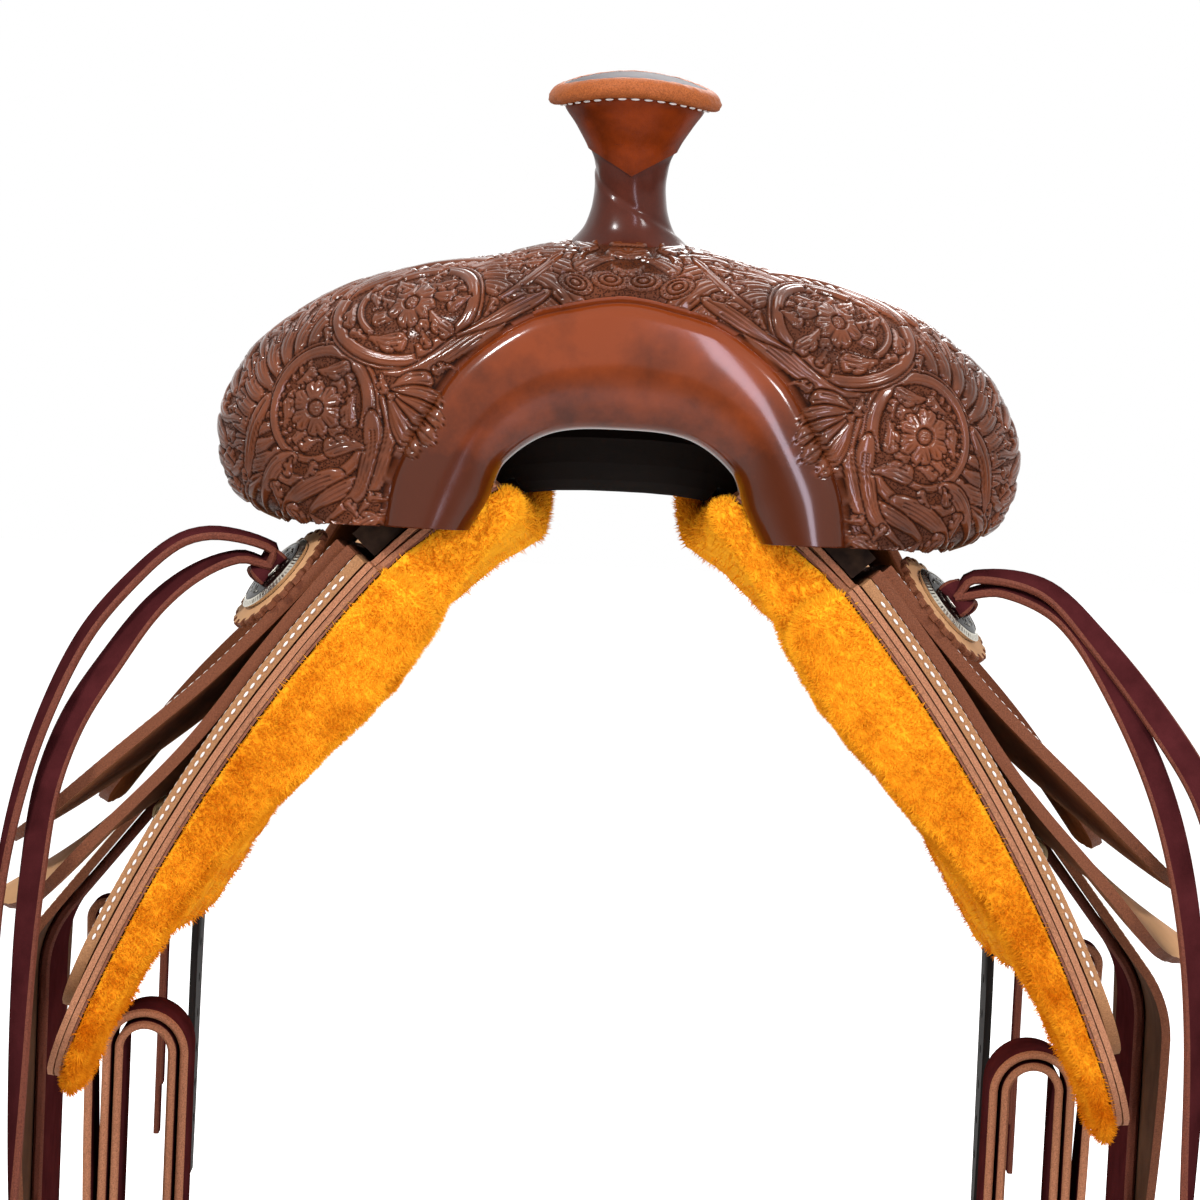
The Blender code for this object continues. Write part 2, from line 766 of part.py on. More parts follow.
def swing_line(distance):
    """A point down the inside of the stirrup leather, in x and z, from its bend over the bar."""
    start = FENDER_HINGE
    level = swing_knee()
    if distance < level:
        return (start.x + distance * cos(SWING_LINE_SLOPE), start.z - distance * sin(SWING_LINE_SLOPE))
    return (HANG_X, start.z - level * sin(SWING_LINE_SLOPE) - (distance - level))


def swing_knee():
    return (HANG_X - FENDER_HINGE.x) / cos(SWING_LINE_SLOPE)


def band(name, side, path, widths, middle_y, thickness, finish, outward=True, across=2):
    """A strap: path is (x, z) points, widths its half-widths in y at those points."""
    last = len(path) - 1

    def where(u, v):
        k = round(v * last)
        x, z = path[k]
        y = middle_y(k) if callable(middle_y) else middle_y
        return Vector((side * x, y + widths[k] * (2 * u - 1), z))

    mesh = grid(name, across, last, where, outside(side))
    return thicken(put(name, mesh, finish), thickness, outward)


def offset_path(path, distance):
    """The path moved sideways, to its outer side."""
    moved = []
    for k, spot in enumerate(path):
        a = path[max(k - 1, 0)]
        b = path[min(k + 1, len(path) - 1)]
        dx, dz = b[0] - a[0], b[1] - a[1]
        length = sqrt(dx * dx + dz * dz)
        moved.append((spot[0] - dz / length * distance, spot[1] + dx / length * distance))
    return moved


def line_distance(z):
    """The distance down the swing line at which it reaches a height."""
    knee = swing_knee()
    knee_z = FENDER_HINGE.z - knee * sin(SWING_LINE_SLOPE)
    if z > knee_z:
        return (FENDER_HINGE.z - z) / sin(SWING_LINE_SLOPE)
    return knee + knee_z - z


BOLT_LOOP = BOLT_RADIUS + FINE_GAP
BOLT_X = HANG_X - BOLT_LOOP
LEATHER_HALF = 0.036
FENDER_HINGE = back_point(TURN_AT, FENDER_Y, bar_top(TURN_AT) + STRAP_LIFT)


def add_leathers():
    knee = swing_knee()
    low = line_distance(BOLT_Z)
    down = [0, 0.04, 0.09, 0.14, knee - 0.02, knee - 0.008, knee, knee + 0.012, knee + 0.05,
            knee + 0.13, low - 0.06, low - 0.02]
    for label, side in SIDES:
        path = [swing_line(d) for d in down]
        for k in range(1, 8):
            angle = pi * k / 8
            path.append((BOLT_X + BOLT_LOOP * cos(angle), BOLT_Z - BOLT_LOOP * sin(angle)))
        path.append((BOLT_X - BOLT_LOOP, BOLT_Z + 0.020))
        path.append((BOLT_X - BOLT_LOOP, BOLT_Z + 0.060))
        widths = [LEATHER_HALF - 0.003] + [LEATHER_HALF] * (len(path) - 1)
        band(f"stirrup_leather_{label}", side, path, widths, FENDER_Y, STRAP_T, BURGUNDY, True, 1)
        rows = [0.060, 0.085, 0.12, 0.16, knee - 0.02, knee - 0.008, knee, knee + 0.012, knee + 0.05,
                knee + 0.09, knee + 0.13, knee + 0.17, low - 0.060]
        half = [0.040, 0.058, 0.078, 0.090, 0.095, 0.096, 0.096, 0.095, 0.088, 0.074, 0.056, 0.043, 0.037]
        path = offset_path([swing_line(d) for d in rows], STRAP_T + GAP)
        band(f"fender_{label}", side, path, half, FENDER_Y, FENDER_T, NATURAL, True, 6)
        add_stirrup(label, side)
        add_hobble(label, side)
        hang(FENDER_HINGE, side, f"stirrup_leather_{label}", f"fender_{label}", f"hobble_strap_{label}")


def add_hobble(label, side):
    """The short strap that ties the loop together above the bolt."""
    inner = BOLT_X - BOLT_LOOP - STRAP_T - GAP
    outer = HANG_X + STRAP_T + GAP
    height = BOLT_Z + 0.040
    half_y = LEATHER_HALF + GAP
    wall = 0.003
    mesh = bpy.data.meshes.new(f"hobble_strap_{label}")
    shape = bmesh.new()
    loop = ((inner, -half_y), (outer, -half_y), (outer, half_y), (inner, half_y))
    grown = ((inner - wall, -half_y - wall), (outer + wall, -half_y - wall),
             (outer + wall, half_y + wall), (inner - wall, half_y + wall))
    layers = []
    for z in (height - 0.010, height + 0.010):
        layers.append([[shape.verts.new((side * x, FENDER_Y + y, z)) for x, y in ring]
                       for ring in (loop, grown)])
    for k in range(4):
        n = (k + 1) % 4
        for ring in (0, 1):
            shape.faces.new((layers[0][ring][k], layers[0][ring][n], layers[1][ring][n], layers[1][ring][k]))
        for level in (0, 1):
            shape.faces.new((layers[level][0][k], layers[level][0][n],
                             layers[level][1][n], layers[level][1][k]))
    bmesh.ops.recalc_face_normals(shape, faces=shape.faces)
    shape.to_mesh(mesh)
    shape.free()
    put(f"hobble_strap_{label}", mesh, BURGUNDY)


def add_stirrup(label, side):
    """A bent-wood stirrup hung flat along the horse, its bolt through both ears."""
    half = STIRRUP_WIDTH / 2
    ear = 0.044
    outline = [(-ear, 0.012), (-ear - 0.001, -0.006), (-ear - 0.006, -0.030), (-half + 0.003, -0.060),
               (-half, -0.090), (-half + 0.010, -0.115), (-half + 0.028, -STIRRUP_HEIGHT + 0.003),
               (-0.012, -STIRRUP_HEIGHT)]
    outline += [(-y, z) for y, z in reversed(outline)]
    depths = [0.013, 0.014, 0.017, 0.020, 0.023, 0.026, 0.028, 0.029]
    depths += list(reversed(depths))
    last = len(outline) - 1

    def where(u, v):
        k = round(v * last)
        y, z = outline[k]
        return Vector((side * (BOLT_X + depths[k] * (2 * u - 1)), FENDER_Y + y, BOLT_Z + z))

    mesh = grid(f"stirrup_{label}", 1, last, where,
                lambda p: Vector((0, p.y - FENDER_Y, p.z - BOLT_Z + 0.06)))
    body = thicken(put(f"stirrup_{label}", mesh, EDGED), 0.009, True)
    hole = bpy.data.meshes.new(f"bolt_hole_{label}")
    shape = bmesh.new()
    bmesh.ops.create_cone(shape, cap_ends=True, segments=16, radius1=BOLT_RADIUS + FINE_GAP,
                          radius2=BOLT_RADIUS + FINE_GAP, depth=0.2)
    shape.to_mesh(hole)
    shape.free()
    drill = cutter(put(f"bolt_hole_{label}", hole, WOOD, CUTTERS))
    drill.rotation_euler = (pi / 2, 0, 0)
    drill.location = (side * BOLT_X, FENDER_Y, BOLT_Z)
    cut(body, [drill])
    reach = ear + 0.009 + 0.0018
    place = Matrix.Translation((side * BOLT_X, FENDER_Y, BOLT_Z)) @ Matrix.Rotation(pi / 2, 4, "X")
    turned(f"stirrup_bolt_{label}", (
        (0, reach + 0.003), (0.0075, reach + 0.003), (0.0075, reach), (BOLT_RADIUS, reach),
        (BOLT_RADIUS, -reach), (0.0075, -reach), (0.0075, -reach - 0.003), (0, -reach - 0.003)),
        CHROME, 16, place)
    hang((BOLT_X, FENDER_Y, BOLT_Z), side, f"stirrup_{label}")


def ring_frame(s, y, d, side):
    """The centre of a ring lying on the flap, its way down the slope and its outward way."""
    centre = back_point(s, y, d)
    angle = slope(s)
    down = Vector((side * cos(angle), 0, -sin(angle)))
    out = Vector((side * sin(angle), 0, cos(angle)))
    return Vector((side * centre.x, centre.y, centre.z)), down, out


def ring_points(centre, down, radius, steps=18):
    """A round ring with a straight bar at its upper side, where its keeper holds it."""
    along = Vector((0, 1, 0))
    spots = []
    for k in range(steps):
        angle = 2 * pi * (k + 0.5) / steps
        depth = max(cos(angle), -RING_FLAT)
        spots.append(centre + down * (radius * depth) + along * (radius * sin(angle)))
    return spots


FRONT_RING_S = 0.238
FRONT_RING_D = SKIRT_T + PLATE_T + 2 * GAP + RING_WIRE + RING_LIFT
REAR_RING_S = 0.205
REAR_RING_D = SKIRT_T + GAP + RING_WIRE + RING_LIFT


def add_rings():
    for label, side in SIDES:
        centre, down, out = ring_frame(FRONT_RING_S, FRONT_RING_Y, FRONT_RING_D, side)
        tube(f"front_ring_{label}", ring_points(centre, down, RING_RADIUS), RING_WIRE, CHROME, True)
        hang(ring_bar(FRONT_RING_S, FRONT_RING_Y, FRONT_RING_D), side, f"front_ring_{label}")
        add_keeper(f"ring_wrap_{label}", centre, down, out, RAWHIDE, FRONT_RING_D - SKIRT_T - PLATE_T - GAP)
        centre, down, out = ring_frame(REAR_RING_S, REAR_RING_Y, REAR_RING_D, side)
        tube(f"rear_ring_{label}", ring_points(centre, down, RING_RADIUS), RING_WIRE, CHROME, True)
        hang(ring_bar(REAR_RING_S, REAR_RING_Y, REAR_RING_D), side, f"rear_ring_{label}")
        add_keeper(f"rear_keeper_{label}", centre, down, out, NATURAL, REAR_RING_D - SKIRT_T - GAP)


def add_keeper(name, centre, down, out, finish, lift):
    """A leather loop laced round the ring's upper side, seated on the leather under it."""
    inner = RING_WIRE + FINE_GAP
    outer = inner + KEEPER_T
    top = centre - down * (RING_RADIUS * RING_FLAT)
    half = 0.0105
    mesh = bpy.data.meshes.new(name)
    shape = bmesh.new()
    layers = []
    steps = 12
    for share in (-1, 1):
        rings = []
        for radius in (inner, outer):
            ring = []
            for k in range(steps):
                angle = 2 * pi * k / steps
                rise = max(radius * sin(angle), -lift + FINE_GAP + (outer - radius))
                ring.append(shape.verts.new(top + down * (radius * cos(angle)) + out * rise
                                            + Vector((0, share * half, 0))))
            rings.append(ring)
        layers.append(rings)
    for k in range(steps):
        n = (k + 1) % steps
        for ring in (0, 1):
            shape.faces.new((layers[0][ring][k], layers[0][ring][n], layers[1][ring][n], layers[1][ring][k]))
        for level in (0, 1):
            shape.faces.new((layers[level][0][k], layers[level][0][n],
                             layers[level][1][n], layers[level][1][k]))
    bmesh.ops.recalc_face_normals(shape, faces=shape.faces)
    shape.to_mesh(mesh)
    shape.free()
    put(name, mesh, finish)


def ring_low(s, y, d):
    """The lowest point of a near ring's centre line."""
    centre, down, _ = ring_frame(s, y, d, 1)
    return centre + down * RING_RADIUS


def ring_bar(s, y, d):
    """The middle of a near ring's straight bar, which its keeper holds."""
    centre, down, _ = ring_frame(s, y, d, 1)
    return centre - down * (RING_RADIUS * RING_FLAT)


HOOK_STEPS = 6
HOOK_TURN = radians(130)


def hook_path(x, z, radius):
    """The bend of a strap over a bar at (x, z), from its inner side to its outer side."""
    angles = [HOOK_TURN * (1 - k / (HOOK_STEPS - 1)) for k in range(HOOK_STEPS)]
    return [(x + radius * cos(angle), z + radius * sin(angle)) for angle in angles]


def add_latigos():
    """A strap from the front ring, wound in long flat loops that hang under it."""
    low = ring_low(FRONT_RING_S, FRONT_RING_Y, FRONT_RING_D)
    loops = 3
    turn_steps = 6
    middle_x = LATIGO_REACH_X - LATIGO_HALF_WIDTH
    top_z = ARCH_TOP + LATIGO_TOP_Z - LATIGO_HALF_WIDTH
    path = hook_path(low.x, low.z, RING_WIRE + HOOK_GAP)
    radius = LATIGO_HALF_WIDTH
    for turn in range(loops):
        for half in range(2):
            if half == 1 and turn == loops - 1:
                continue
            centre_z = top_z - LATIGO_STRAIGHT if half == 0 else top_z
            first = 0.0 if half == 0 else pi
            for k in range(turn_steps + 1):
                angle = first - pi * k / turn_steps
                path.append((middle_x + radius * cos(angle), centre_z + radius * sin(angle)))
                radius -= LATIGO_PITCH / (2 * (turn_steps + 1))
    for label, side in SIDES:
        widths = [HOOK_HALF] * HOOK_STEPS + [LATIGO_HALF] * (len(path) - HOOK_STEPS)
        band(f"latigo_{label}", side, path, widths, FRONT_RING_Y, LATIGO_T, BURGUNDY, True, 1)
        hang(ring_bar(FRONT_RING_S, FRONT_RING_Y, FRONT_RING_D), side, f"latigo_{label}")


def add_flank_rigging():
    low = ring_low(REAR_RING_S, REAR_RING_Y, REAR_RING_D)
    lift = REAR_RING_D - RING_WIRE
    edge = back_point(SKIRT_SHALLOW + 0.006, REAR_RING_Y, lift)
    path = hook_path(low.x, low.z, RING_WIRE + HOOK_GAP)
    path += [(edge.x + 0.002, edge.z), (edge.x + 0.006, edge.z - 0.020),
             (edge.x + 0.007, edge.z - 0.080), (edge.x + 0.007, edge.z - BILLET_DROP)]
    widths = [HOOK_HALF] * HOOK_STEPS + [LATIGO_HALF] * 3 + [0.012]
    for label, side in SIDES:
        band(f"flank_billet_{label}", side, path, widths, REAR_RING_Y, LATIGO_T, BLACK, True, 1)
        hang(low, side, f"flank_billet_{label}")
    buckle_x = edge.x + 0.007 + LATIGO_T + GAP + BUCKLE_WIRE
    buckle_z = edge.z - BILLET_DROP + 0.004
    frame = [(-buckle_x, REAR_RING_Y + y, buckle_z + z) for y, z in round_frame(0.0235, 0.019, 0.008)]
    tube("flank_buckle", frame, BUCKLE_WIRE, CHROME, True)
    hang(low, -1, "flank_buckle")
    bottom = buckle_z - 0.019
    path = hook_path(buckle_x, bottom, BUCKLE_WIRE + GAP)
    under = buckle_x - LATIGO_T / 2
    path += [(under + 0.0010, bottom - 0.03), (under, bottom - 0.09), (under, bottom - 0.15)]
    widths = [0.0140] * HOOK_STEPS + [0.024, 0.030, 0.030]
    band("flank_cinch", -1, path, widths, REAR_RING_Y, LATIGO_T, BURGUNDY, True, 1)
    hang((buckle_x, REAR_RING_Y, bottom), -1, "flank_cinch")


def round_frame(half_y, half_z, radius):
    """A rectangle with round corners, as points of one ring."""
    spots = []
    for turn, (sy, sz) in enumerate(((1, 1), (-1, 1), (-1, -1), (1, -1))):
        for k in range(4):
            angle = pi / 2 * (turn + k / 3)
            spots.append((sy * (half_y - radius) + radius * cos(angle),
                          sz * (half_z - radius) + radius * sin(angle)))
    return spots


CONCHO_S = 0.094
CONCHO_Y = -0.232
CONCHO_TILT = radians(4)
CONCHO_LEVEL = radians(4)
KNOT_HEIGHT = 0.0062
REAR_STRING_S = 0.080
REAR_STRING_Y = 0.300


def concho_place(s, y, d, side, tilt):
    centre = back_point(s, y, d)
    angle = slope(s) - CONCHO_LEVEL
    out = Vector((side * sin(angle), 0, cos(angle)))
    out = (out * cos(tilt) + Vector((0, -1, 0)) * sin(tilt)).normalized()
    turn = out.to_track_quat("Z", "Y").to_matrix().to_4x4()
    return Matrix.Translation((side * centre.x, centre.y, centre.z)) @ turn


def concho_profile():
    return ((CONCHO_SLOT_RADIUS, 0.0032), (0.010, 0.0030), (0.016, 0.0020), (CONCHO_RADIUS, 0.0),
            (CONCHO_RADIUS - 0.001, -0.0014), (0.010, 0.0014), (CONCHO_SLOT_RADIUS, 0.0016))


def rosette_profile():
    return ((CONCHO_SLOT_RADIUS, -0.0017), (ROSETTE_RADIUS - 0.001, -0.0017), (ROSETTE_RADIUS, -0.0027),
            (ROSETTE_RADIUS, -0.0048), (CONCHO_SLOT_RADIUS, -0.0048))


def add_conchos():
    for label, side in SIDES:
        lift = UPPER_FLAP_D + FLAP_T + CONCHO_LIFT
        place = concho_place(CONCHO_S, CONCHO_Y, lift, side, CONCHO_TILT)
        turned(f"concho_{label}", concho_profile(), SILVER, 20, place)
        turned(f"rosette_{label}", rosette_profile(), EDGED, 24, place)
        add_strings(label, side)


# Tails of the front string, away from its knot: (out, up, towards the front)
OUTER_TAIL = ((0.030, 0.012, 0.004), (0.052, 0.000, 0.010), (0.080, -0.035, 0.022), (0.104, -0.085, 0.036),
              (0.118, -0.140, 0.040), (0.123, -0.210, 0.040), (0.124, -0.290, 0.040), (0.124, -0.360, 0.040))
INNER_TAIL = ((0.024, 0.000, 0.004), (0.044, -0.018, 0.010), (0.066, -0.050, 0.022), (0.086, -0.096, 0.036),
              (0.100, -0.150, 0.040), (0.106, -0.210, 0.040), (0.108, -0.280, 0.040), (0.108, -0.340, 0.040))
KNOT_TURN = ((0.004, 0.010, 0.0), (-0.004, 0.004, 0.0), (0.004, -0.002, 0.0))


def add_strings(label, side):
    """Each string is one strap folded at its knot, with two tails."""
    knot = concho_place(CONCHO_S, CONCHO_Y, UPPER_FLAP_D + FLAP_T + CONCHO_LIFT, side, CONCHO_TILT) @ Vector(
        (0, 0, KNOT_HEIGHT))
    steps = list(reversed(OUTER_TAIL)) + list(KNOT_TURN) + list(INNER_TAIL)
    path = [(abs(knot.x) + out, knot.z + up) for out, up, _ in steps]
    band(f"front_strings_{label}", side, path, [STRING_HALF] * len(path),
         lambda k: knot.y - steps[k][2], STRING_T, BURGUNDY, True, 1)
    low = REAR_JOCKEY_D + JOCKEY_T + 2 * GAP + STRING_T
    high = low + 0.0030
    slope_s = [0.100, 0.130, 0.165, 0.200, 0.235, 0.262, 0.275]
    outer = [back_point(s, REAR_STRING_Y, high + 0.0005) for s in slope_s]
    inner = [back_point(s, REAR_STRING_Y, low) for s in slope_s]
    path = [(outer[-1].x + 0.004, outer[-1].z - drop) for drop in (0.200, 0.130, 0.060, 0.020)]
    path += [(spot.x, spot.z) for spot in reversed(outer)]
    for s, d in ((0.086, high), (0.080, (high + low) / 2), (0.086, low)):
        spot = back_point(s, REAR_STRING_Y, d)
        path.append((spot.x, spot.z))
    path += [(spot.x, spot.z) for spot in inner]
    path += [(inner[-1].x + 0.003, inner[-1].z - drop) for drop in (0.020, 0.060, 0.120, 0.170)]
    band(f"rear_strings_{label}", side, path, [STRING_HALF] * len(path), REAR_STRING_Y, STRING_T,
         BURGUNDY, True, 1)


def finish_all():
    for made in SADDLE.objects:
        if made.type == "MESH":
            made.data.shade_smooth()
            made.data.set_sharp_from_angle(angle=radians(40))


add_skirts()
add_rigging_plates()
add_front_jockeys()
add_bars()
add_fork()
add_horn()
add_seat()
add_seat_and_rear_jockeys()
add_leathers()
add_rings()
add_latigos()
add_flank_rigging()
add_conchos()
finish_all()
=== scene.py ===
"""Ranch saddle, dressed: carved fork, wrapped horn, fleece, flaps, rigging, seat and strings."""
from math import cos, pi, radians, sin, sqrt

import bmesh
import bpy
import numpy as np
from mathutils import Matrix, Vector, noise


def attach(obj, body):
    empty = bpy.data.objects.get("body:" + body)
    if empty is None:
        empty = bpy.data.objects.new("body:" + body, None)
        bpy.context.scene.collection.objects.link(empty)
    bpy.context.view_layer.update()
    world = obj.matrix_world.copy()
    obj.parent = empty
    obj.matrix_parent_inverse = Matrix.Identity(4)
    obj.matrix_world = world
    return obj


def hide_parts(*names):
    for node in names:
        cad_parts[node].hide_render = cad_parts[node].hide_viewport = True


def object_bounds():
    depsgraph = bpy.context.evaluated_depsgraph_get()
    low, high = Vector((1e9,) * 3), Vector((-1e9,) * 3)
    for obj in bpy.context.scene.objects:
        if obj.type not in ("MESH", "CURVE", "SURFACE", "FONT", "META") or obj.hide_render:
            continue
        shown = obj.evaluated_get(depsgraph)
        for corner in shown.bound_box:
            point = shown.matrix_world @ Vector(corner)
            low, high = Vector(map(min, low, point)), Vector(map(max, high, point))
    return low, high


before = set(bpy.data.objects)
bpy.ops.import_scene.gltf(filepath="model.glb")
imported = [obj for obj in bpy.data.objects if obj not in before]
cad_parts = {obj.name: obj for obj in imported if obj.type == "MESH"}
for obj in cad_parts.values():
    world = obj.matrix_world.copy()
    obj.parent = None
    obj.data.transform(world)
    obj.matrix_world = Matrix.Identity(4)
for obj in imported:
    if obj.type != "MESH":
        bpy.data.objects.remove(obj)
CAD_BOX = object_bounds()

bl_info = {
    "name": "Ranch Saddle",
    "version": (1, 0, 0),
    "blender": (4, 5, 0),
    "location": "View3D > Sidebar > Saddle",
    "description": "Dresses the ranch saddle's model with leather, fleece, metal and carving",
    "category": "Object",
}

# How the pieces are dressed, in metres
STITCH = 0.0032
FLOOR_DROP = 0.012
CAMERA_LENS = 125.6
CAMERA_AIM = (-.0051, -.262, -.0134)
CAMERA_BACK, CAMERA_UP, CAMERA_TILT = 1.80, 0.1534, radians(2.7)

# The model's own sizes, in metres
GAP = 0.0006
FINE_GAP = 0.0003
SEAT_GAP = 0.0011
STRAP_LIFT = 0.0022
ARCH_TOP = 0.060
CHANNEL_X = 0.052
CHANNEL_DROP = 0.027
SLOPE_START = radians(30)
SLOPE_TURN = radians(50)
TURN_AT = 0.070
LOWER_RADIUS = 0.716
UPPER_RADIUS = TURN_AT / (SLOPE_TURN - SLOPE_START)
FLARE_FRONT = 0.014
FLARE_REAR = 0.012
ROCK = 0.010
FRONT_Y = -0.270
REAR_Y = 0.415
FORK_FRONT_Y = -0.262
FORK_WIDEST_Y = -0.203
FORK_BACK_Y = -0.142
SEAT_FRONT_Y = -0.132
CANTLE_TOP_Y = 0.262
FENDER_Y = -0.030
RECESS_Y = FORK_FRONT_Y + 0.0115
SKIRT_T = 0.0070
PLATE_T = 0.0050
FLAP_T = 0.0048
JOCKEY_T = 0.0046
SEAT_T = 0.0046
STRAP_T = 0.0050
FENDER_T = 0.0042
LATIGO_T = 0.0038
SKIRT_DEEP = 0.332
SKIRT_SHALLOW = 0.262
SWELL_OUTLINE = ((0, .0810), (.022, .0800), (.060, .0710), (.090, .0655), (.127, .0530), (.161, .0280),
                 (.174, .0050), (.1765, -.0080), (.173, -.0290), (.163, -.0410), (.148, -.0470))
BAND_OUTLINE = ((0, .0560), (.020, .0530), (.043, .0460), (.069, .0260), (.084, .0020), (.096, -.0210),
                (.100, -.0460))
ARCH_OUTLINE = ((0, .0010), (.030, -.0020), (.050, -.0160), (.057, -.0330), (.064, -.0460))
HORN_LEAN = radians(5)
NECK_BASE = 0.0815
NECK_WAIST = 0.107
WRAP_JOINT = 0.111
CONE_TOP = 0.1395
CAP_TOP = 0.152
CAP_RADIUS = 0.038
CONE_RADIUS = 0.030
SEAT_LOW = -0.018
SEAT_FRONT_RISE = 0.036
CANTLE_RISE = 0.083
SEAT_EDGE_S = 0.095
SEAT_EDGE_D = 0.0406
CANTLE_SIDE_Y = 0.115
CANTLE_BOARD_T = 0.014
ROLL_RADIUS = 0.0125
SWING_LINE_SLOPE = radians(52)
HANG_X = 0.262
BOLT_Z = -0.560
BOLT_RADIUS = 0.004
BOLT_LOOP = BOLT_RADIUS + FINE_GAP
BOLT_X = HANG_X - BOLT_LOOP
LEATHER_HALF = 0.036
STIRRUP_HEIGHT = 0.135
STIRRUP_WIDTH = 0.118
RING_RADIUS = 0.030
RING_WIRE = 0.0036
RING_FLAT = 0.86
RING_LIFT = 0.0028
FRONT_RING_Y = -0.160
REAR_RING_Y = 0.205
FRONT_RING_S = 0.238
FRONT_RING_D = SKIRT_T + PLATE_T + 2 * GAP + RING_WIRE + RING_LIFT
REAR_RING_S = 0.205
REAR_RING_D = SKIRT_T + GAP + RING_WIRE + RING_LIFT
LATIGO_HALF_WIDTH = 0.020
LATIGO_PITCH = 0.0056
LATIGO_REACH_X = 0.224
LATIGO_TOP_Z = -0.2770
LATIGO_STRAIGHT = 0.112
LATIGO_HALF = 0.0175
HOOK_TURN = radians(130)
HOOK_HALF = 0.0085
HOOK_GAP = 0.0020
BILLET_DROP = 0.190
BUCKLE_WIRE = 0.0026
CONCHO_RADIUS = 0.020
ROSETTE_RADIUS = 0.0285
CONCHO_LIFT = 0.0097
CONCHO_S = 0.094
CONCHO_Y = -0.232
PLATE_FRONT = -0.268
PLATE_REAR = -0.075
STRING_HALF = 0.0060
STRING_T = 0.0030
REAR_JOCKEY_D = 0.0262
REAR_STRING_Y = 0.300
LOWER_JOCKEY_REAR = -0.150
LOWER_FLAP_D = SKIRT_T + PLATE_T + 2 * GAP + FINE_GAP
UPPER_FLAP_D = LOWER_FLAP_D + FLAP_T + GAP

SIDES = (("near", 1), ("off", -1))


def measure(name, description, default):
    return bpy.props.FloatProperty(name=name, description=description, default=default, unit="LENGTH")


class SaddleSizes(bpy.types.PropertyGroup):
    relief: measure("Carving depth", "How deep the carving's ground lies under its leaves", 0.0016)
    stitch_pitch: measure("Stitch pitch", "Distance from one stitch to the next", 0.0042)
    pile: measure("Fleece pile", "Length of the fleece's fibres", 0.0031)
    tufts: bpy.props.IntProperty(
        name="Fleece fibres", description="Fibres for a square metre where they stand closest", default=1500000)
    grain: bpy.props.FloatProperty(
        name="Leather grain", description="Strength of the grain on smooth leather", default=0.25, subtype="FACTOR")


def colour(name, description, default):
    return bpy.props.FloatVectorProperty(
        name=name, description=f"Colour of {description}", size=3, subtype="COLOR", default=default)


class SaddleColours(bpy.types.PropertyGroup):
    leather: colour("Carved leather", "the carved fork leather", (0.120, 0.031, 0.010))
    band: colour("Gullet band", "the plain band round the arch", (0.140, 0.025, 0.004))
    natural: colour("Natural leather", "the flaps' and fenders' faces", (0.60, 0.33, 0.16))
    edge: colour("Cut edges", "the thick burnished edges", (0.150, 0.050, 0.022))
    burgundy: colour("Strings and latigo", "the oiled dark straps", (0.055, 0.011, 0.012))
    fleece: colour("Fleece", "the fleece lining", (0.92, 0.34, 0.008))


# ---- shapes -------------------------------------------------------------------------------------

def smooth(t):
    t = np.clip(t, 0.0, 1.0)
    return t * t * (3 - 2 * t)


def between(a, b, t):
    return a + (b - a) * t


def unit(v):
    return v / np.maximum(np.linalg.norm(v, axis=-1, keepdims=True), 1e-12)


def spokes(angles):
    """Unit ways in a plane at the given angles."""
    return np.stack([np.cos(angles), np.sin(angles)], -1)


def leftward(line):
    """Unit ways to the left of a flat line."""
    way = unit(np.gradient(line, axis=0))
    return np.stack([-way[:, 1], way[:, 0]], -1)


def moved(points, matrix):
    matrix = np.array(matrix)
    return points @ matrix[:3, :3].T + matrix[:3, 3]


def ring_noise(angles, scale, height):
    """A smooth random wave round a ring."""
    return np.array([noise.noise(Vector((cos(a) * scale, sin(a) * scale, height))) for a in angles])


def flare(y):
    return -FLARE_FRONT * smooth((y - FRONT_Y) / 0.250) + FLARE_REAR * smooth((y - 0.160) / (REAR_Y - 0.160))


def rock(y):
    middle, half = (FRONT_Y + REAR_Y) / 2, (REAR_Y - FRONT_Y) / 2
    return ROCK * (((y - middle) / half) ** 2 - 1)


def slope(s):
    return np.where(np.asarray(s) < TURN_AT, SLOPE_START + s / UPPER_RADIUS,
                    SLOPE_TURN + (s - TURN_AT) / LOWER_RADIUS)


def back_point(s, y, d):
    """Points s down the back's slope and d out from under the skirt, as an array of xyz."""
    s, y, d = np.broadcast_arrays(np.asarray(s, float), np.asarray(y, float), np.asarray(d, float))
    angle = slope(s)
    upper = np.minimum(angle, SLOPE_TURN)
    x = CHANNEL_X + UPPER_RADIUS * (np.sin(upper) - sin(SLOPE_START))
    z = -CHANNEL_DROP - UPPER_RADIUS * (cos(SLOPE_START) - np.cos(upper))
    lower = s >= TURN_AT
    x = x + np.where(lower, LOWER_RADIUS * (np.sin(angle) - sin(SLOPE_TURN)), 0)
    z = z - np.where(lower, LOWER_RADIUS * (cos(SLOPE_TURN) - np.cos(angle)), 0)
    out = d + flare(y)
    return np.stack([x + out * np.sin(angle), y, ARCH_TOP + z + out * np.cos(angle) + rock(y)], -1)


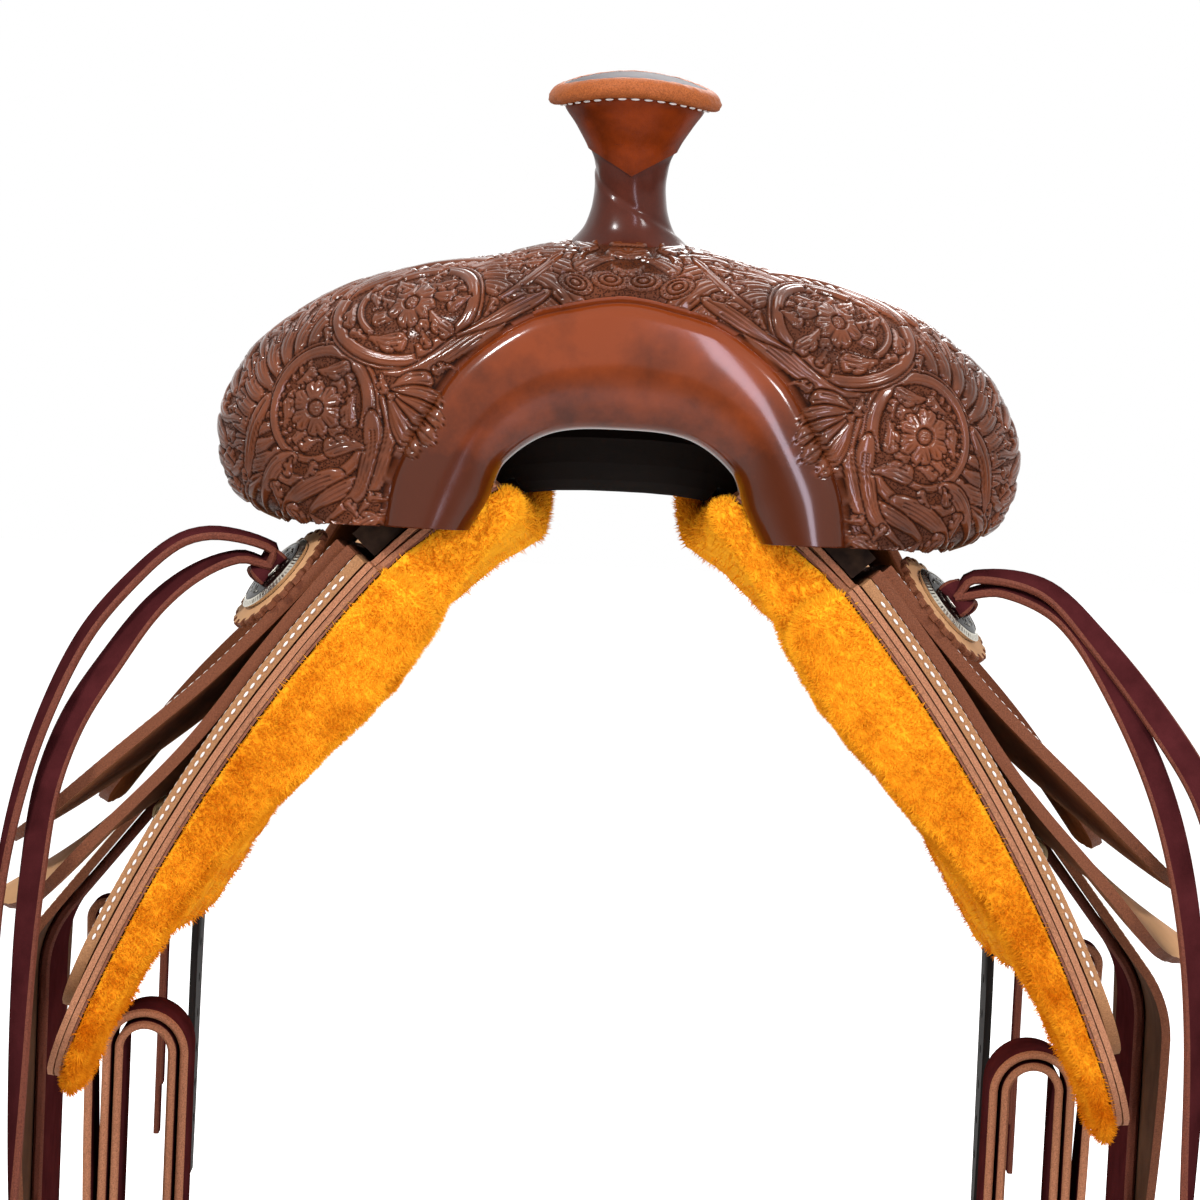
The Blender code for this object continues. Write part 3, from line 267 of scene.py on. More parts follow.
def smooth_path(points, t, mirrored=False):
    """A point at share t of the length of a smooth curve through points, perhaps mirrored before the first."""
    spots = [np.array(p, float) for p in points]
    lengths = [0.0]
    for a, b in zip(spots, spots[1:]):
        lengths.append(lengths[-1] + np.linalg.norm(b - a))
    target = min(max(t, 0.0), 1.0) * lengths[-1]
    k = 0
    while k < len(spots) - 2 and lengths[k + 1] < target:
        k += 1
    span = lengths[k + 1] - lengths[k]
    p1, p2 = spots[k], spots[k + 1]
    before = after = p2 - p1
    if k > 0:
        before = (p2 - spots[k - 1]) / (lengths[k + 1] - lengths[k - 1]) * span
    elif mirrored:
        before = (p2 - p2 * (-1, 1)) / 2
    if k < len(spots) - 2:
        after = (spots[k + 2] - p1) / (lengths[k + 2] - lengths[k]) * span
    f = (target - lengths[k]) / span
    return (p1 * (2 * f ** 3 - 3 * f ** 2 + 1) + before * (f ** 3 - 2 * f ** 2 + f)
            + p2 * (-2 * f ** 3 + 3 * f ** 2) + after * (f ** 3 - f ** 2))


def curve_through(points, count):
    return np.array([smooth_path(points, k / (count - 1)) for k in range(count)])


def corner(distance, radius):
    distance = np.asarray(distance, float)
    inner = np.sqrt(np.maximum(radius ** 2 - (radius - distance) ** 2, 0.0))
    return np.where(distance >= radius, 0.0, radius - np.where(distance > 0, inner, 0.0))


def eased(low, high, count):
    """Rows from low to high, closer together towards both ends."""
    return low + (high - low) * (1 - np.cos(np.linspace(0, pi, count))) / 2


# ---- meshes -------------------------------------------------------------------------------------

def make(name, points, faces, materials, index=None, sharp=radians(45), recalc=True):
    """A mesh object at the origin from points and faces, its faces turned outwards."""
    mesh = bpy.data.meshes.new(name)
    mesh.from_pydata([tuple(p) for p in np.asarray(points, float).reshape(-1, 3)], [],
                     [tuple(int(i) for i in f) for f in faces])
    for item in materials:
        mesh.materials.append(item)
    if index is not None:
        mesh.polygons.foreach_set("material_index", np.asarray(index, np.int32))
    if recalc:
        shape = bmesh.new()
        shape.from_mesh(mesh)
        bmesh.ops.remove_doubles(shape, verts=shape.verts, dist=1e-7)
        bmesh.ops.recalc_face_normals(shape, faces=shape.faces)
        shape.to_mesh(mesh)
        shape.free()
    mesh.shade_smooth()
    if sharp is not None:
        mesh.set_sharp_from_angle(angle=sharp)
    made = bpy.data.objects.new(name, mesh)
    bpy.context.scene.collection.objects.link(made)
    return made


def grid_faces(rows, columns, start=0):
    i, j = np.meshgrid(np.arange(rows - 1), np.arange(columns - 1), indexing="ij")
    a = start + i * columns + j
    return np.stack([a, a + 1, a + columns + 1, a + columns], -1).reshape(-1, 4)


def ring_faces(rings, around, closed=False):
    """Faces between rings of points that follow each other."""
    a = np.arange(rings if closed else rings - 1)[:, None] * around
    b = (a + around) % (rings * around)
    j = np.arange(around)
    n = (j + 1) % around
    return np.stack([a + j, a + n, b + n, b + j], -1).reshape(-1, 4)


def shell(name, outer, inner, materials, round_edge=0.0007):
    """A closed sheet between two grids; its slots are the outer face, the cut edge and the back."""
    rows, columns = outer.shape[:2]
    count = rows * columns
    faces = [grid_faces(rows, columns), grid_faces(rows, columns, count)[:, ::-1]]
    index = [0] * len(faces[0]) + [2] * len(faces[1])
    grid = np.arange(count).reshape(rows, columns)
    for line in (grid[0], grid[-1][::-1], grid[:, 0][::-1], grid[:, -1]):
        rim = np.stack([line[:-1], line[:-1] + count, line[1:] + count, line[1:]], -1)
        faces.append(rim)
        index += [1] * len(rim)
    made = make(name, np.concatenate([outer.reshape(-1, 3), inner.reshape(-1, 3)]), np.concatenate(faces),
                materials, index)
    if round_edge:
        bevel = made.modifiers.new("rounded_edge", "BEVEL")
        bevel.width = round_edge
        bevel.segments = 2 if round_edge < .0015 else 3
        bevel.limit_method = "ANGLE"
        bevel.angle_limit = radians(50)
        bevel.harden_normals = False
    return made


def rough_rim(grids, amount, scale=900):
    """Push the outline of a sheet's grids in and out a little, as cut leather is."""
    for grid in grids:
        for line, inner in ((grid[0], grid[1]), (grid[-1], grid[-2]), (grid[:, -1], grid[:, -2])):
            way = unit(line - inner)
            push = np.array([noise.noise(Vector(p) * scale) + noise.noise(Vector(p) * scale / 6) for p in line])
            line += way * (push * amount)[:, None]


def sweep(name, path, across, section, materials, edge_faces=(), cyclic=False):
    """A section of (across, up) points carried along a path, with flat ends."""
    path = np.asarray(path, float)
    if cyclic:
        tangent = unit(np.roll(path, -1, 0) - np.roll(path, 1, 0))
    else:
        tangent = unit(np.gradient(path, axis=0))
    across = np.broadcast_to(np.asarray(across, float), path.shape)
    wide = unit(across - tangent * np.sum(across * tangent, -1, keepdims=True))
    up = np.cross(tangent, wide)
    section = np.asarray(section, float)
    if section.ndim == 2:
        section = np.broadcast_to(section, (len(path), *section.shape))
    points = path[:, None] + wide[:, None] * section[..., :1] + up[:, None] * section[..., 1:]
    count, around = section.shape[:2]
    faces = ring_faces(count, around, cyclic).tolist()
    index = [int(j in edge_faces) for j in range(around)] * (len(faces) // around)
    if not cyclic:
        faces += [tuple(range(around)), tuple(range((count - 1) * around, count * around))]
        index += [min(1, len(materials) - 1)] * 2
    return make(name, points, faces, materials, index)


def strap_section(half, thick):
    """The outline of a strap's cross-section; half may be one value or one for each point."""
    half = np.atleast_1d(np.asarray(half, float))[:, None]
    c = thick * 0.28
    t = thick / 2
    a = np.concatenate([-half + c, half - c, half, half, half - c, -half + c, -half, -half], 1)
    b = np.broadcast_to(np.array([-t, -t, -t + c, t - c, t, t, t - c, -t + c]), a.shape)
    return np.stack([a, b], -1)


STRAP_EDGES = (1, 2, 3, 5, 6, 7)


def strap(name, path, across, half, thick, materials):
    section = strap_section(np.broadcast_to(half, (len(path),)), thick)
    return sweep(name, path, across, section, materials, STRAP_EDGES)


def rod(name, path, across, radius, materials, sides=14, cyclic=False):
    angles = np.linspace(0, 2 * pi, sides, endpoint=False)
    radius = np.broadcast_to(radius, (len(path),))
    return sweep(name, path, across, spokes(angles)[None] * radius[:, None, None], materials, cyclic=cyclic)


def turned(name, profile, materials, place=Matrix.Identity(4), steps=96, index=None, ripple=None, bend=None):
    """A body turned about its own Z; ripple(angle, k) moves ring k, and bend moves all before it is placed."""
    angles = np.linspace(0, 2 * pi, steps, endpoint=False)
    rings = []
    for k, (radius, height) in enumerate(profile):
        extra = ripple(angles, k) if ripple else (0, 0)
        r = np.where(radius > 0, radius + extra[0], 0.0) * np.ones(steps)
        rings.append(np.stack([r * np.cos(angles), r * np.sin(angles), height + extra[1] * np.ones(steps)], -1))
    points = np.concatenate(rings)
    points = bend(points) if bend else points
    points = moved(points, place)
    faces = ring_faces(len(profile), steps, profile[0][0] > 0)
    marks = np.repeat(index, steps) if index else None
    return make(name, points, faces, materials, marks, sharp=radians(50))


def settle(made):
    """Turn an object's modifiers into plain mesh."""
    graph = bpy.context.evaluated_depsgraph_get()
    mesh = bpy.data.meshes.new_from_object(made.evaluated_get(graph), depsgraph=graph)
    made.modifiers.clear()
    made.data = mesh
    return made


def ride(made, body, *nodes, slot=None):
    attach(made, body)
    if nodes:
        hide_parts(*nodes)
    return made


# ---- node trees ---------------------------------------------------------------------------------

def wire(tree, nodes, links, **known):
    """Add nodes by key, each a kind alone or with its settings, and join "key.socket > key.socket" lines.

    A setting with a capital or a number is a socket's value, and any other is a property of the node."""
    made = dict(known)
    for key, item in nodes.items():
        kind, settings = item if isinstance(item, tuple) else (item, {})
        node = made[key] = tree.nodes.new(kind if "Node" in kind else f"ShaderNode{kind}")
        for name, value in settings.items():
            if isinstance(name, int) or name[0].isupper():
                node.inputs[name].default_value = value
            else:
                setattr(node, name, value)
    for line in links.strip().splitlines():
        ends = []
        for end in line.split(" > "):
            key, _, socket = end.strip().partition(".")
            ends.append((made[key], int(socket) if socket.isdigit() else socket))
        (source, leaving), (target, entering) = ends
        tree.links.new(source.outputs[leaving], target.inputs[entering])
    return made


def group(name, kind, inputs, outputs, nodes, links):
    """A node group whose sockets are given as label, type and perhaps a default."""
    tree = bpy.data.node_groups.new(name, kind)
    for way, sockets in (("INPUT", inputs), ("OUTPUT", outputs)):
        for label, socket, *value in sockets:
            made = tree.interface.new_socket(label, in_out=way, socket_type=f"NodeSocket{socket}")
            if value:
                made.default_value = value[0]
    wire(tree, {"enter": "NodeGroupInput", "leave": "NodeGroupOutput", **nodes}, links)
    return tree


COPY_NODES = {"shape": "GeometryNodeObjectInfo", "copies": "GeometryNodeInstanceOnPoints",
              "real": "GeometryNodeRealizeInstances", "finish": "GeometryNodeSetMaterial"}
COPY_LINKS = """
enter.Shape > shape.Object
shape.Geometry > copies.Instance
copies.Instances > real.Geometry
real.Geometry > finish.Geometry
enter.Finish > finish.Material
finish.Geometry > leave.Copies"""


def row_tree():
    """Copies of one small shape along a drawn line, turned with the line and its stored normal."""
    return group("row_along_line", "GeometryNodeTree", (
        ("Line", "Geometry"), ("Shape", "Object"), ("Pitch", "Float"), ("Finish", "Material")), (
        ("Copies", "Geometry"),), {
            "curve": "GeometryNodeMeshToCurve",
            "evenly": ("GeometryNodeResampleCurve", {"mode": "LENGTH"}),
            "tangent": "GeometryNodeInputTangent",
            "upward": ("GeometryNodeInputNamedAttribute", {"data_type": "FLOAT_VECTOR", "Name": "up"}),
            "along": ("FunctionNodeAlignRotationToVector", {"axis": "X"}),
            "upright": ("FunctionNodeAlignRotationToVector", {"axis": "Z", "pivot_axis": "X"}),
            **COPY_NODES}, """
enter.Line > curve.Mesh
curve.Curve > evenly.Curve
enter.Pitch > evenly.Length
tangent.Tangent > along.Vector
along.Rotation > upright.Rotation
upward.Attribute > upright.Vector
evenly.Curve > copies.Points
upright.Rotation > copies.Rotation""" + COPY_LINKS)


def tuft_tree():
    """Fibres scattered over a fleece, thick where its stored share is high."""
    return group("tufts_on_fleece", "GeometryNodeTree", (
        ("Fleece", "Geometry"), ("Shape", "Object"), ("Density", "Float"), ("Size", "Float"), ("Seed", "Int"),
        ("Finish", "Material")), (("Copies", "Geometry"),), {
            "spread": "GeometryNodeDistributePointsOnFaces",
            "share": ("GeometryNodeInputNamedAttribute", {"Name": "share"}),
            "dense": ("Math", {"operation": "MULTIPLY"}),
            "lean": ("FunctionNodeRandomValue", {
                "data_type": "FLOAT_VECTOR", 0: (-0.5, -0.5, -3.1), 1: (0.5, 0.5, 3.1)}),
            "turn": ("FunctionNodeRotateRotation", {"rotation_space": "LOCAL"}),
            "euler": "FunctionNodeEulerToRotation",
            "vary": ("FunctionNodeRandomValue", {2: 0.65, 3: 1.25}),
            "grow": ("Math", {"operation": "MULTIPLY"}),
            **COPY_NODES}, """
enter.Fleece > spread.Mesh
share.Attribute > dense.0
enter.Density > dense.1
dense.0 > spread.Density
enter.Seed > spread.Seed
enter.Seed > lean.Seed
spread.Rotation > turn.Rotation
lean.0 > euler.0
euler.0 > turn.1
enter.Size > grow.0
vary.1 > grow.1
spread.Points > copies.Points
turn.0 > copies.Rotation
grow.0 > copies.Scale""" + COPY_LINKS)


def run_tree(made, tree, **values):
    """Run a geometry tree on an object with its inputs set, and keep the plain result."""
    change = made.modifiers.new("tree", "NODES")
    change.node_group = tree
    for item in tree.interface.items_tree:
        key = item.name.lower()
        if item.in_out == "INPUT" and key in values:
            change[item.identifier] = values[key]
    settle(made)
    made.data.shade_smooth()


def stitch_shape():
    """One thread stitch, 1 m long along X, low and round."""
    rows, around = 7, 6
    points = []
    for k in range(rows):
        x = -0.5 + k / (rows - 1)
        r = sqrt(max(0.25 - x * x, 0.0)) * 2
        for j in range(around):
            a = 2 * pi * j / around
            points.append((x, 0.17 * r * cos(a), 0.11 * r * sin(a) + 0.03))
    return points, ring_faces(rows, around)


def hidden(name, points, faces):
    made = make(name, points, faces, [])
    made.hide_render = True
    return made


def store(made, key, values):
    """Store one number a point under a name."""
    made.data.attributes.new(key, "FLOAT", "POINT").data.foreach_set(
        "value", np.ascontiguousarray(values, np.float32).ravel())


def stitches(name, line, up, length, pitch, slot, body="saddle"):
    """A row of stitches along a line of points lying on leather whose outward ways are up."""
    line = np.asarray(line, float)
    up = np.broadcast_to(np.asarray(up, float), line.shape)
    points, faces = stitch_shape()
    shape = hidden(f"{name}_thread", np.array(points) * length, faces)
    made = make(name, line, [], [], recalc=False, sharp=None)
    made.data.edges.add(len(line) - 1)
    ends = np.stack([np.arange(len(line) - 1), np.arange(1, len(line))], -1)
    made.data.edges.foreach_set("vertices", ends.ravel())
    stored = made.data.attributes.new("up", "FLOAT_VECTOR", "POINT")
    stored.data.foreach_set("vector", np.ascontiguousarray(up, np.float32).ravel())
    run_tree(made, TREES["row"], shape=shape, pitch=pitch, finish=FINISH["thread"])
    bpy.data.objects.remove(shape, do_unlink=True)
    ride(made, body, slot=slot)


# ---- materials ----------------------------------------------------------------------------------

def shader_groups():
    """The groups that materials share: grain, tint and cut fibres."""
    kind = "ShaderNodeTree"
    grain = group("leather_grain", kind, (("Cells", "Float", 900.0), ("Mottle", "Float", 35.0)),
                  (("Height", "Float"), ("Tone", "Float")), {
        "place": "TexCoord", "cells": ("TexVoronoi", {"feature": "DISTANCE_TO_EDGE"}),
        "creases": ("TexNoise", {"Scale": 160, "Detail": 5}),
        "both": ("Math", {"operation": "MULTIPLY_ADD", 1: 0.8}),
        "slow": ("TexNoise", {"Detail": 6, "Roughness": 0.62})}, """
place.Object > cells.Vector
place.Object > creases.Vector
place.Object > slow.Vector
enter.Cells > cells.Scale
enter.Mottle > slow.Scale
creases.Fac > both.0
cells.Distance > both.2
both.0 > leave.Height
slow.Fac > leave.Tone""")
    tint = group("leather_tint", kind, (
        ("Low", "Color"), ("High", "Color"), ("Dark", "Color"), ("Tone", "Float", 0.5), ("Mask", "Float", 0.0)), (
        ("Color", "Color"),), {
        "steep": ("MapRange", {"From Min": 0.32, "From Max": 0.68}),
        "first": ("Mix", {"data_type": "RGBA"}), "second": ("Mix", {"data_type": "RGBA"})}, """
enter.Tone > steep.Value
steep.Result > first.Factor
enter.Low > first.A
enter.High > first.B
enter.Mask > second.Factor
first.Result > second.A
enter.Dark > second.B
second.Result > leave.Color""")
    fibres = group("cut_fibres", kind, (("Scale", "Float", 1500.0),), (("Height", "Float"), ("Speckle", "Float")), {
        "place": "TexCoord", "fine": ("TexNoise", {"Detail": 4, "Roughness": 0.75}),
        "coarse": ("TexNoise", {"Scale": 240, "Detail": 3}),
        "mix": ("Math", {"operation": "MULTIPLY_ADD", 1: 0.6})}, """
place.Object > fine.Vector
place.Object > coarse.Vector
enter.Scale > fine.Scale
fine.Fac > mix.0
coarse.Fac > mix.2
mix.0 > leave.Height
fine.Fac > leave.Speckle""")
    return {"grain": grain, "tint": tint, "fibres": fibres}


def blank(name, roughness, metallic=0.0, coat=0.0, coat_roughness=0.2, specular=0.14):
    made = bpy.data.materials.new(name)
    made.use_nodes = True
    shader = made.node_tree.nodes["Principled BSDF"]
    for key, value in (("Roughness", roughness), ("Metallic", metallic), ("Coat Weight", coat),
                       ("Coat Roughness", coat_roughness), ("Coat IOR", 1.3), ("Specular IOR Level", specular)):
        shader.inputs[key].default_value = value
    return made, made.node_tree, shader


def placed(tree, key, **values):
    node = tree.nodes.new("ShaderNodeGroup")
    node.node_tree = GROUPS[key]
    for name, value in values.items():
        node.inputs[name].default_value = value
    return node


def tinted(tree, color, low, high, dark):
    return placed(tree, "tint", Low=shade(color, low), High=shade(color, high), Dark=shade(color, dark))


def bump(tree, height, shader, strength, distance=0.0003):
    node = tree.nodes.new("ShaderNodeBump")
    node.inputs["Strength"].default_value = strength
    node.inputs["Distance"].default_value = distance
    tree.links.new(height, node.inputs["Height"])
    tree.links.new(node.outputs["Normal"], shader.inputs["Normal"])


def shade(color, factor):
    return (color[0] * factor, color[1] * factor, color[2] * factor, 1.0)


def leather(name, color, roughness, dark=0.35, light=1.25, cells=900, mottle=35, grain=0.25, coat=0.0, specular=0.05):
    """Leather with a mottled colour and grain."""
    made, tree, shader = blank(name, roughness, coat=coat, coat_roughness=0.16, specular=specular)
    grain_node = placed(tree, "grain", Cells=cells, Mottle=mottle)
    wire(tree, {}, """
grain.Tone > tint.Tone
tint.Color > shader.Base Color""", grain=grain_node, tint=tinted(tree, color, 0.78, light, dark), shader=shader)
    bump(tree, grain_node.outputs["Height"], shader, grain)
    return made


def cut_edge(name, color, speckle=1.5, roughness=0.75, strength=0.8):
    """The rough, burnished edge of thick leather."""
    made, tree, shader = blank(name, roughness)
    fibres = placed(tree, "fibres")
    wire(tree, {}, """
fibres.Speckle > tint.Tone
tint.Color > shader.Base Color""", fibres=fibres, tint=tinted(tree, color, 0.55, speckle, 0.3), shader=shader)
    bump(tree, fibres.outputs["Height"], shader, strength, 0.0005)
    return made


def painted_light_by_height(tree, source, output, low, high, first, last):
    """A tone that also changes with the height on the saddle: painted shade lower down, painted light higher up."""
    return wire(tree, {
        "place": "TexCoord", "split": "SeparateXYZ", "total": "Math",
        "ramp": ("MapRange", {"From Min": low, "From Max": high, "To Min": first, "To Max": last})}, f"""
place.Object > split.0
split.Z > ramp.Value
ramp.Result > total.0
source.{output} > total.1""", source=source)["total"]


def carved_material(colors):
    """Carved leather: antique stays in the cuts, the small grounds are matted, and the band is plain, with painted
    shade darkening it towards its bottom and painted light towards its top.
    """
    made, tree, shader = blank("carved_leather_finish", 0.34, coat=0.6, coat_roughness=0.12, specular=0.05)
    shader.inputs["Coat IOR"].default_value = 1.36
    grain = placed(tree, "grain", Cells=750.0, Mottle=30.0)
    antique = (0.014, 0.004, 0.002, 1)
    # The band's tone gets painted shade low on the band and painted light high on it from painted_light_by_height.
    nodes = wire(tree, {
        "sink": ("Attribute", {"attribute_name": "sink"}), "ground": ("Attribute", {"attribute_name": "ground"}),
        "plain": ("Attribute", {"attribute_name": "plain"}), "both": ("Mix", {"data_type": "RGBA"}),
        "place": "TexCoord", "dots": ("TexVoronoi", {"Scale": 1050}), "deep": ("Math", {"operation": "MULTIPLY"}),
        "pits": ("MapRange", {"From Min": 0.18, "From Max": 0.55, "To Min": 1.0, "To Max": 0.35}),
        "height": ("Math", {"operation": "MULTIPLY_ADD", 1: 0.10}), "darkest": ("Math", {"operation": "MAXIMUM"}),
        "rough": ("MapRange", {"To Min": 0.28, "To Max": 0.50}),
        "gloss": ("MapRange", {"From Max": 0.6, "To Min": 1.0, "To Max": 0.0})}, """
place.Object > dots.Vector
dots.Distance > pits.Value
pits.Result > deep.0
ground.Fac > deep.1
grain.Height > height.0
deep.0 > height.2
deep.0 > darkest.0
sink.Fac > darkest.1
darkest.0 > gloss.Value
gloss.Result > shader.Coat Weight
grain.Tone > carved.Tone
high.0 > band.Tone
darkest.0 > carved.Mask
sink.Fac > band.Mask
carved.Color > both.A
band.Color > both.B
plain.Fac > both.Factor
both.Result > shader.Base Color
ground.Fac > rough.Value
rough.Result > shader.Roughness""", shader=shader, grain=grain, band=tinted(tree, colors.band, 0.45, 1.35, 0.25),
                 carved=placed(tree, "tint", Low=shade(colors.leather, 0.50), High=shade(colors.leather, 1.5),
                               Dark=antique), high=painted_light_by_height(tree, grain, "Tone", 0.0, 0.115, -0.45, 0.25))
    bump(tree, nodes["height"].outputs[0], shader, 0.45, 0.0005)
    return made


def fleece_material(color):
    made, tree, shader = blank("fleece_finish", 0.95, specular=0.02)
    tint = placed(tree, "tint", Low=(color[0] * 0.70, color[1] * 0.52, color[2] * 0.4, 1),
                  High=(1.0, color[1] * 1.42, color[2] * 2.6, 1), Dark=shade(color, 0.4))
    nodes = wire(tree, {
        "place": "TexCoord", "clumps": ("TexNoise", {"Scale": 60, "Detail": 7, "Roughness": 0.7}),
        "fibres": ("TexNoise", {"Scale": 1100, "Detail": 3})}, """
place.Object > clumps.Vector
place.Object > fibres.Vector
tint.Color > shader.Base Color""", shader=shader, tint=tint)
    # Painted light on the fleece's upper parts and painted shade on its lower parts; the clumps are its own random
    # tone.
    tone = painted_light_by_height(tree, nodes["clumps"], "Fac", -0.22, 0.0, -0.10, 0.14)
    tree.links.new(tone.outputs[0], tint.inputs["Tone"])
    bump(tree, nodes["fibres"].outputs["Fac"], shader, 0.5, 0.0008)
    return made


def metal_material(name, color, roughness, dark, scratch):
    made, tree, shader = blank(name, roughness, metallic=1.0)
    nodes = wire(tree, {
        "place": "TexCoord", "haze": ("TexNoise", {"Scale": 220, "Detail": 6}),
        "sink": ("Attribute", {"attribute_name": "sink"}),
        "rough": ("MapRange", {"To Min": roughness * 0.7, "To Max": roughness * 1.5})}, """
place.Object > haze.Vector
haze.Fac > tint.Tone
sink.Fac > tint.Mask
tint.Color > shader.Base Color
haze.Fac > rough.Value
rough.Result > shader.Roughness""", shader=shader,
                 tint=placed(tree, "tint", Low=shade(color, 0.8), High=shade(color, 1.05), Dark=dark))
    bump(tree, nodes["haze"].outputs["Fac"], shader, scratch, 0.0002)
    return made


def wood_material():
    made, tree, shader = blank("tree_wood_finish", 0.7)
    nodes = wire(tree, {
        "place": "TexCoord", "stretch": ("Mapping", {"Scale": (60, 6, 60)}),
        "rings": ("TexNoise", {"Scale": 3, "Detail": 8})}, """
place.Object > stretch.Vector
stretch.Vector > rings.Vector
rings.Fac > tint.Tone
tint.Color > shader.Base Color""", shader=shader,
                 tint=placed(tree, "tint", Low=(0.022, 0.012, 0.007, 1), High=(0.065, 0.038, 0.020, 1),
                             Dark=(0.1, 0.05, 0.02, 1)))
    bump(tree, nodes["rings"].outputs["Fac"], shader, 0.4)
    return made


GROUPS, TREES, FINISH = {}, {}, {}


def finishes(*names):
    return [FINISH[name] for name in names]


def dress(node, finish):
    """Give a solid of the model a finish in each of its slots."""
    for place in bpy.data.objects[node].material_slots:
        place.material = FINISH[finish]


class SADDLE_OT_finishes(bpy.types.Operator):
    """Make the saddle's node groups and materials"""
    bl_idname = "saddle.finishes"
    bl_label = "Finishes"

    def execute(self, context):
        colors = context.scene.saddle_colours
        grain = context.scene.saddle_sizes.grain
        GROUPS.update(shader_groups())
        TREES.update(row=row_tree(), tufts=tuft_tree())
        FINISH.update(
            carved=carved_material(colors),
            band=leather("band_leather_finish", colors.band, 0.34, grain=grain, coat=0.15),
            horn=leather("horn_wrap_finish", (0.130, 0.019, 0.002), 0.36, dark=0.3, light=1.6, mottle=60,
                         grain=grain * 0.8, coat=0.15),
            neck=leather("neck_wrap_finish", (0.068, 0.015, 0.008), 0.30, mottle=50, grain=grain * 0.6, coat=0.6),
            # The purplish grey of the cap's top is painted sheen that stands in for its soft highlight.
            cap=leather("cap_top_finish", (0.085, 0.075, 0.080), 0.55, mottle=90, grain=grain, specular=0.06),
            natural=leather("natural_leather_finish", colors.natural, 0.55, light=1.12, mottle=18, grain=grain),
            seat=leather("seat_leather_finish", (0.20, 0.052, 0.015), 0.36, grain=grain, coat=0.3),
            rough=leather("rough_back_finish", (0.26, 0.12, 0.060), 0.9, cells=1400, grain=0.6),
            # Near-black painted shade for the ground seat and lining under the seat, where only shadow shows.
            dark=leather("painted_shade_lining_finish", (0.006, 0.004, 0.003), 0.9, cells=1400, grain=0.4,
                         specular=0.02),
            skirt=leather("skirt_face_finish", (0.40, 0.19, 0.085), 0.5, grain=grain),
            edge=cut_edge("cut_edge_finish", colors.edge, roughness=0.5),
            edge_dark=cut_edge("dark_edge_finish", (0.12, 0.036, 0.016)),
            edge_tan=cut_edge("tan_edge_finish", (0.40, 0.20, 0.088), speckle=1.2),
            edge_pale=cut_edge("pale_edge_finish", (0.37, 0.165, 0.085), speckle=1.45),
            roll=cut_edge("cap_roll_finish", (0.31, 0.085, 0.022), speckle=1.5, roughness=0.5, strength=0.6),
            hide=cut_edge("thin_hide_finish", (0.22, 0.085, 0.050), speckle=1.3),
            burgundy=leather("burgundy_finish", colors.burgundy, 0.5, mottle=60, grain=grain, specular=0.0),
            burgundy_edge=cut_edge("burgundy_edge_finish", (0.13, 0.036, 0.020), roughness=0.6),
            latigo_edge=cut_edge("latigo_edge_finish", (0.30, 0.125, 0.062)),
            black=leather("black_strap_finish", (0.012, 0.010, 0.009), 0.5, grain=grain, specular=0.05),
            grey=leather("fender_back_finish", (0.10, 0.052, 0.030), 0.9, cells=1300, grain=0.5,
                         specular=0.02),
            rawhide=leather("rawhide_finish", (0.82, 0.66, 0.36), 0.4, light=1.1, mottle=25, grain=grain, coat=0.3),
            thread=leather("thread_finish", (0.82, 0.80, 0.74), 0.7, light=1.1, mottle=200, grain=0.1),
            fleece=fleece_material(colors.fleece),
            chrome=metal_material("chrome_finish", (0.82, 0.82, 0.84), 0.10, (0.05, 0.05, 0.05, 1), 0.03),
            silver=metal_material("silver_finish", (0.74, 0.70, 0.60), 0.26, (0.012, 0.010, 0.008, 1), 0.10),
            wood=wood_material(),
        )
        # The ground seat gets the near-black painted shade finish.
        for node, finish in (("tree_fork", "wood"), ("horn_core", "wood"), ("ground_seat", "dark"),
                             ("tree_cantle", "wood"), ("tree_bar_near", "wood"), ("tree_bar_off", "wood"),
                             ("swell_cover", "edge_dark")):
            dress(node, finish)
        return {"FINISHED"}


# ---- carving ------------------------------------------------------------------------------------

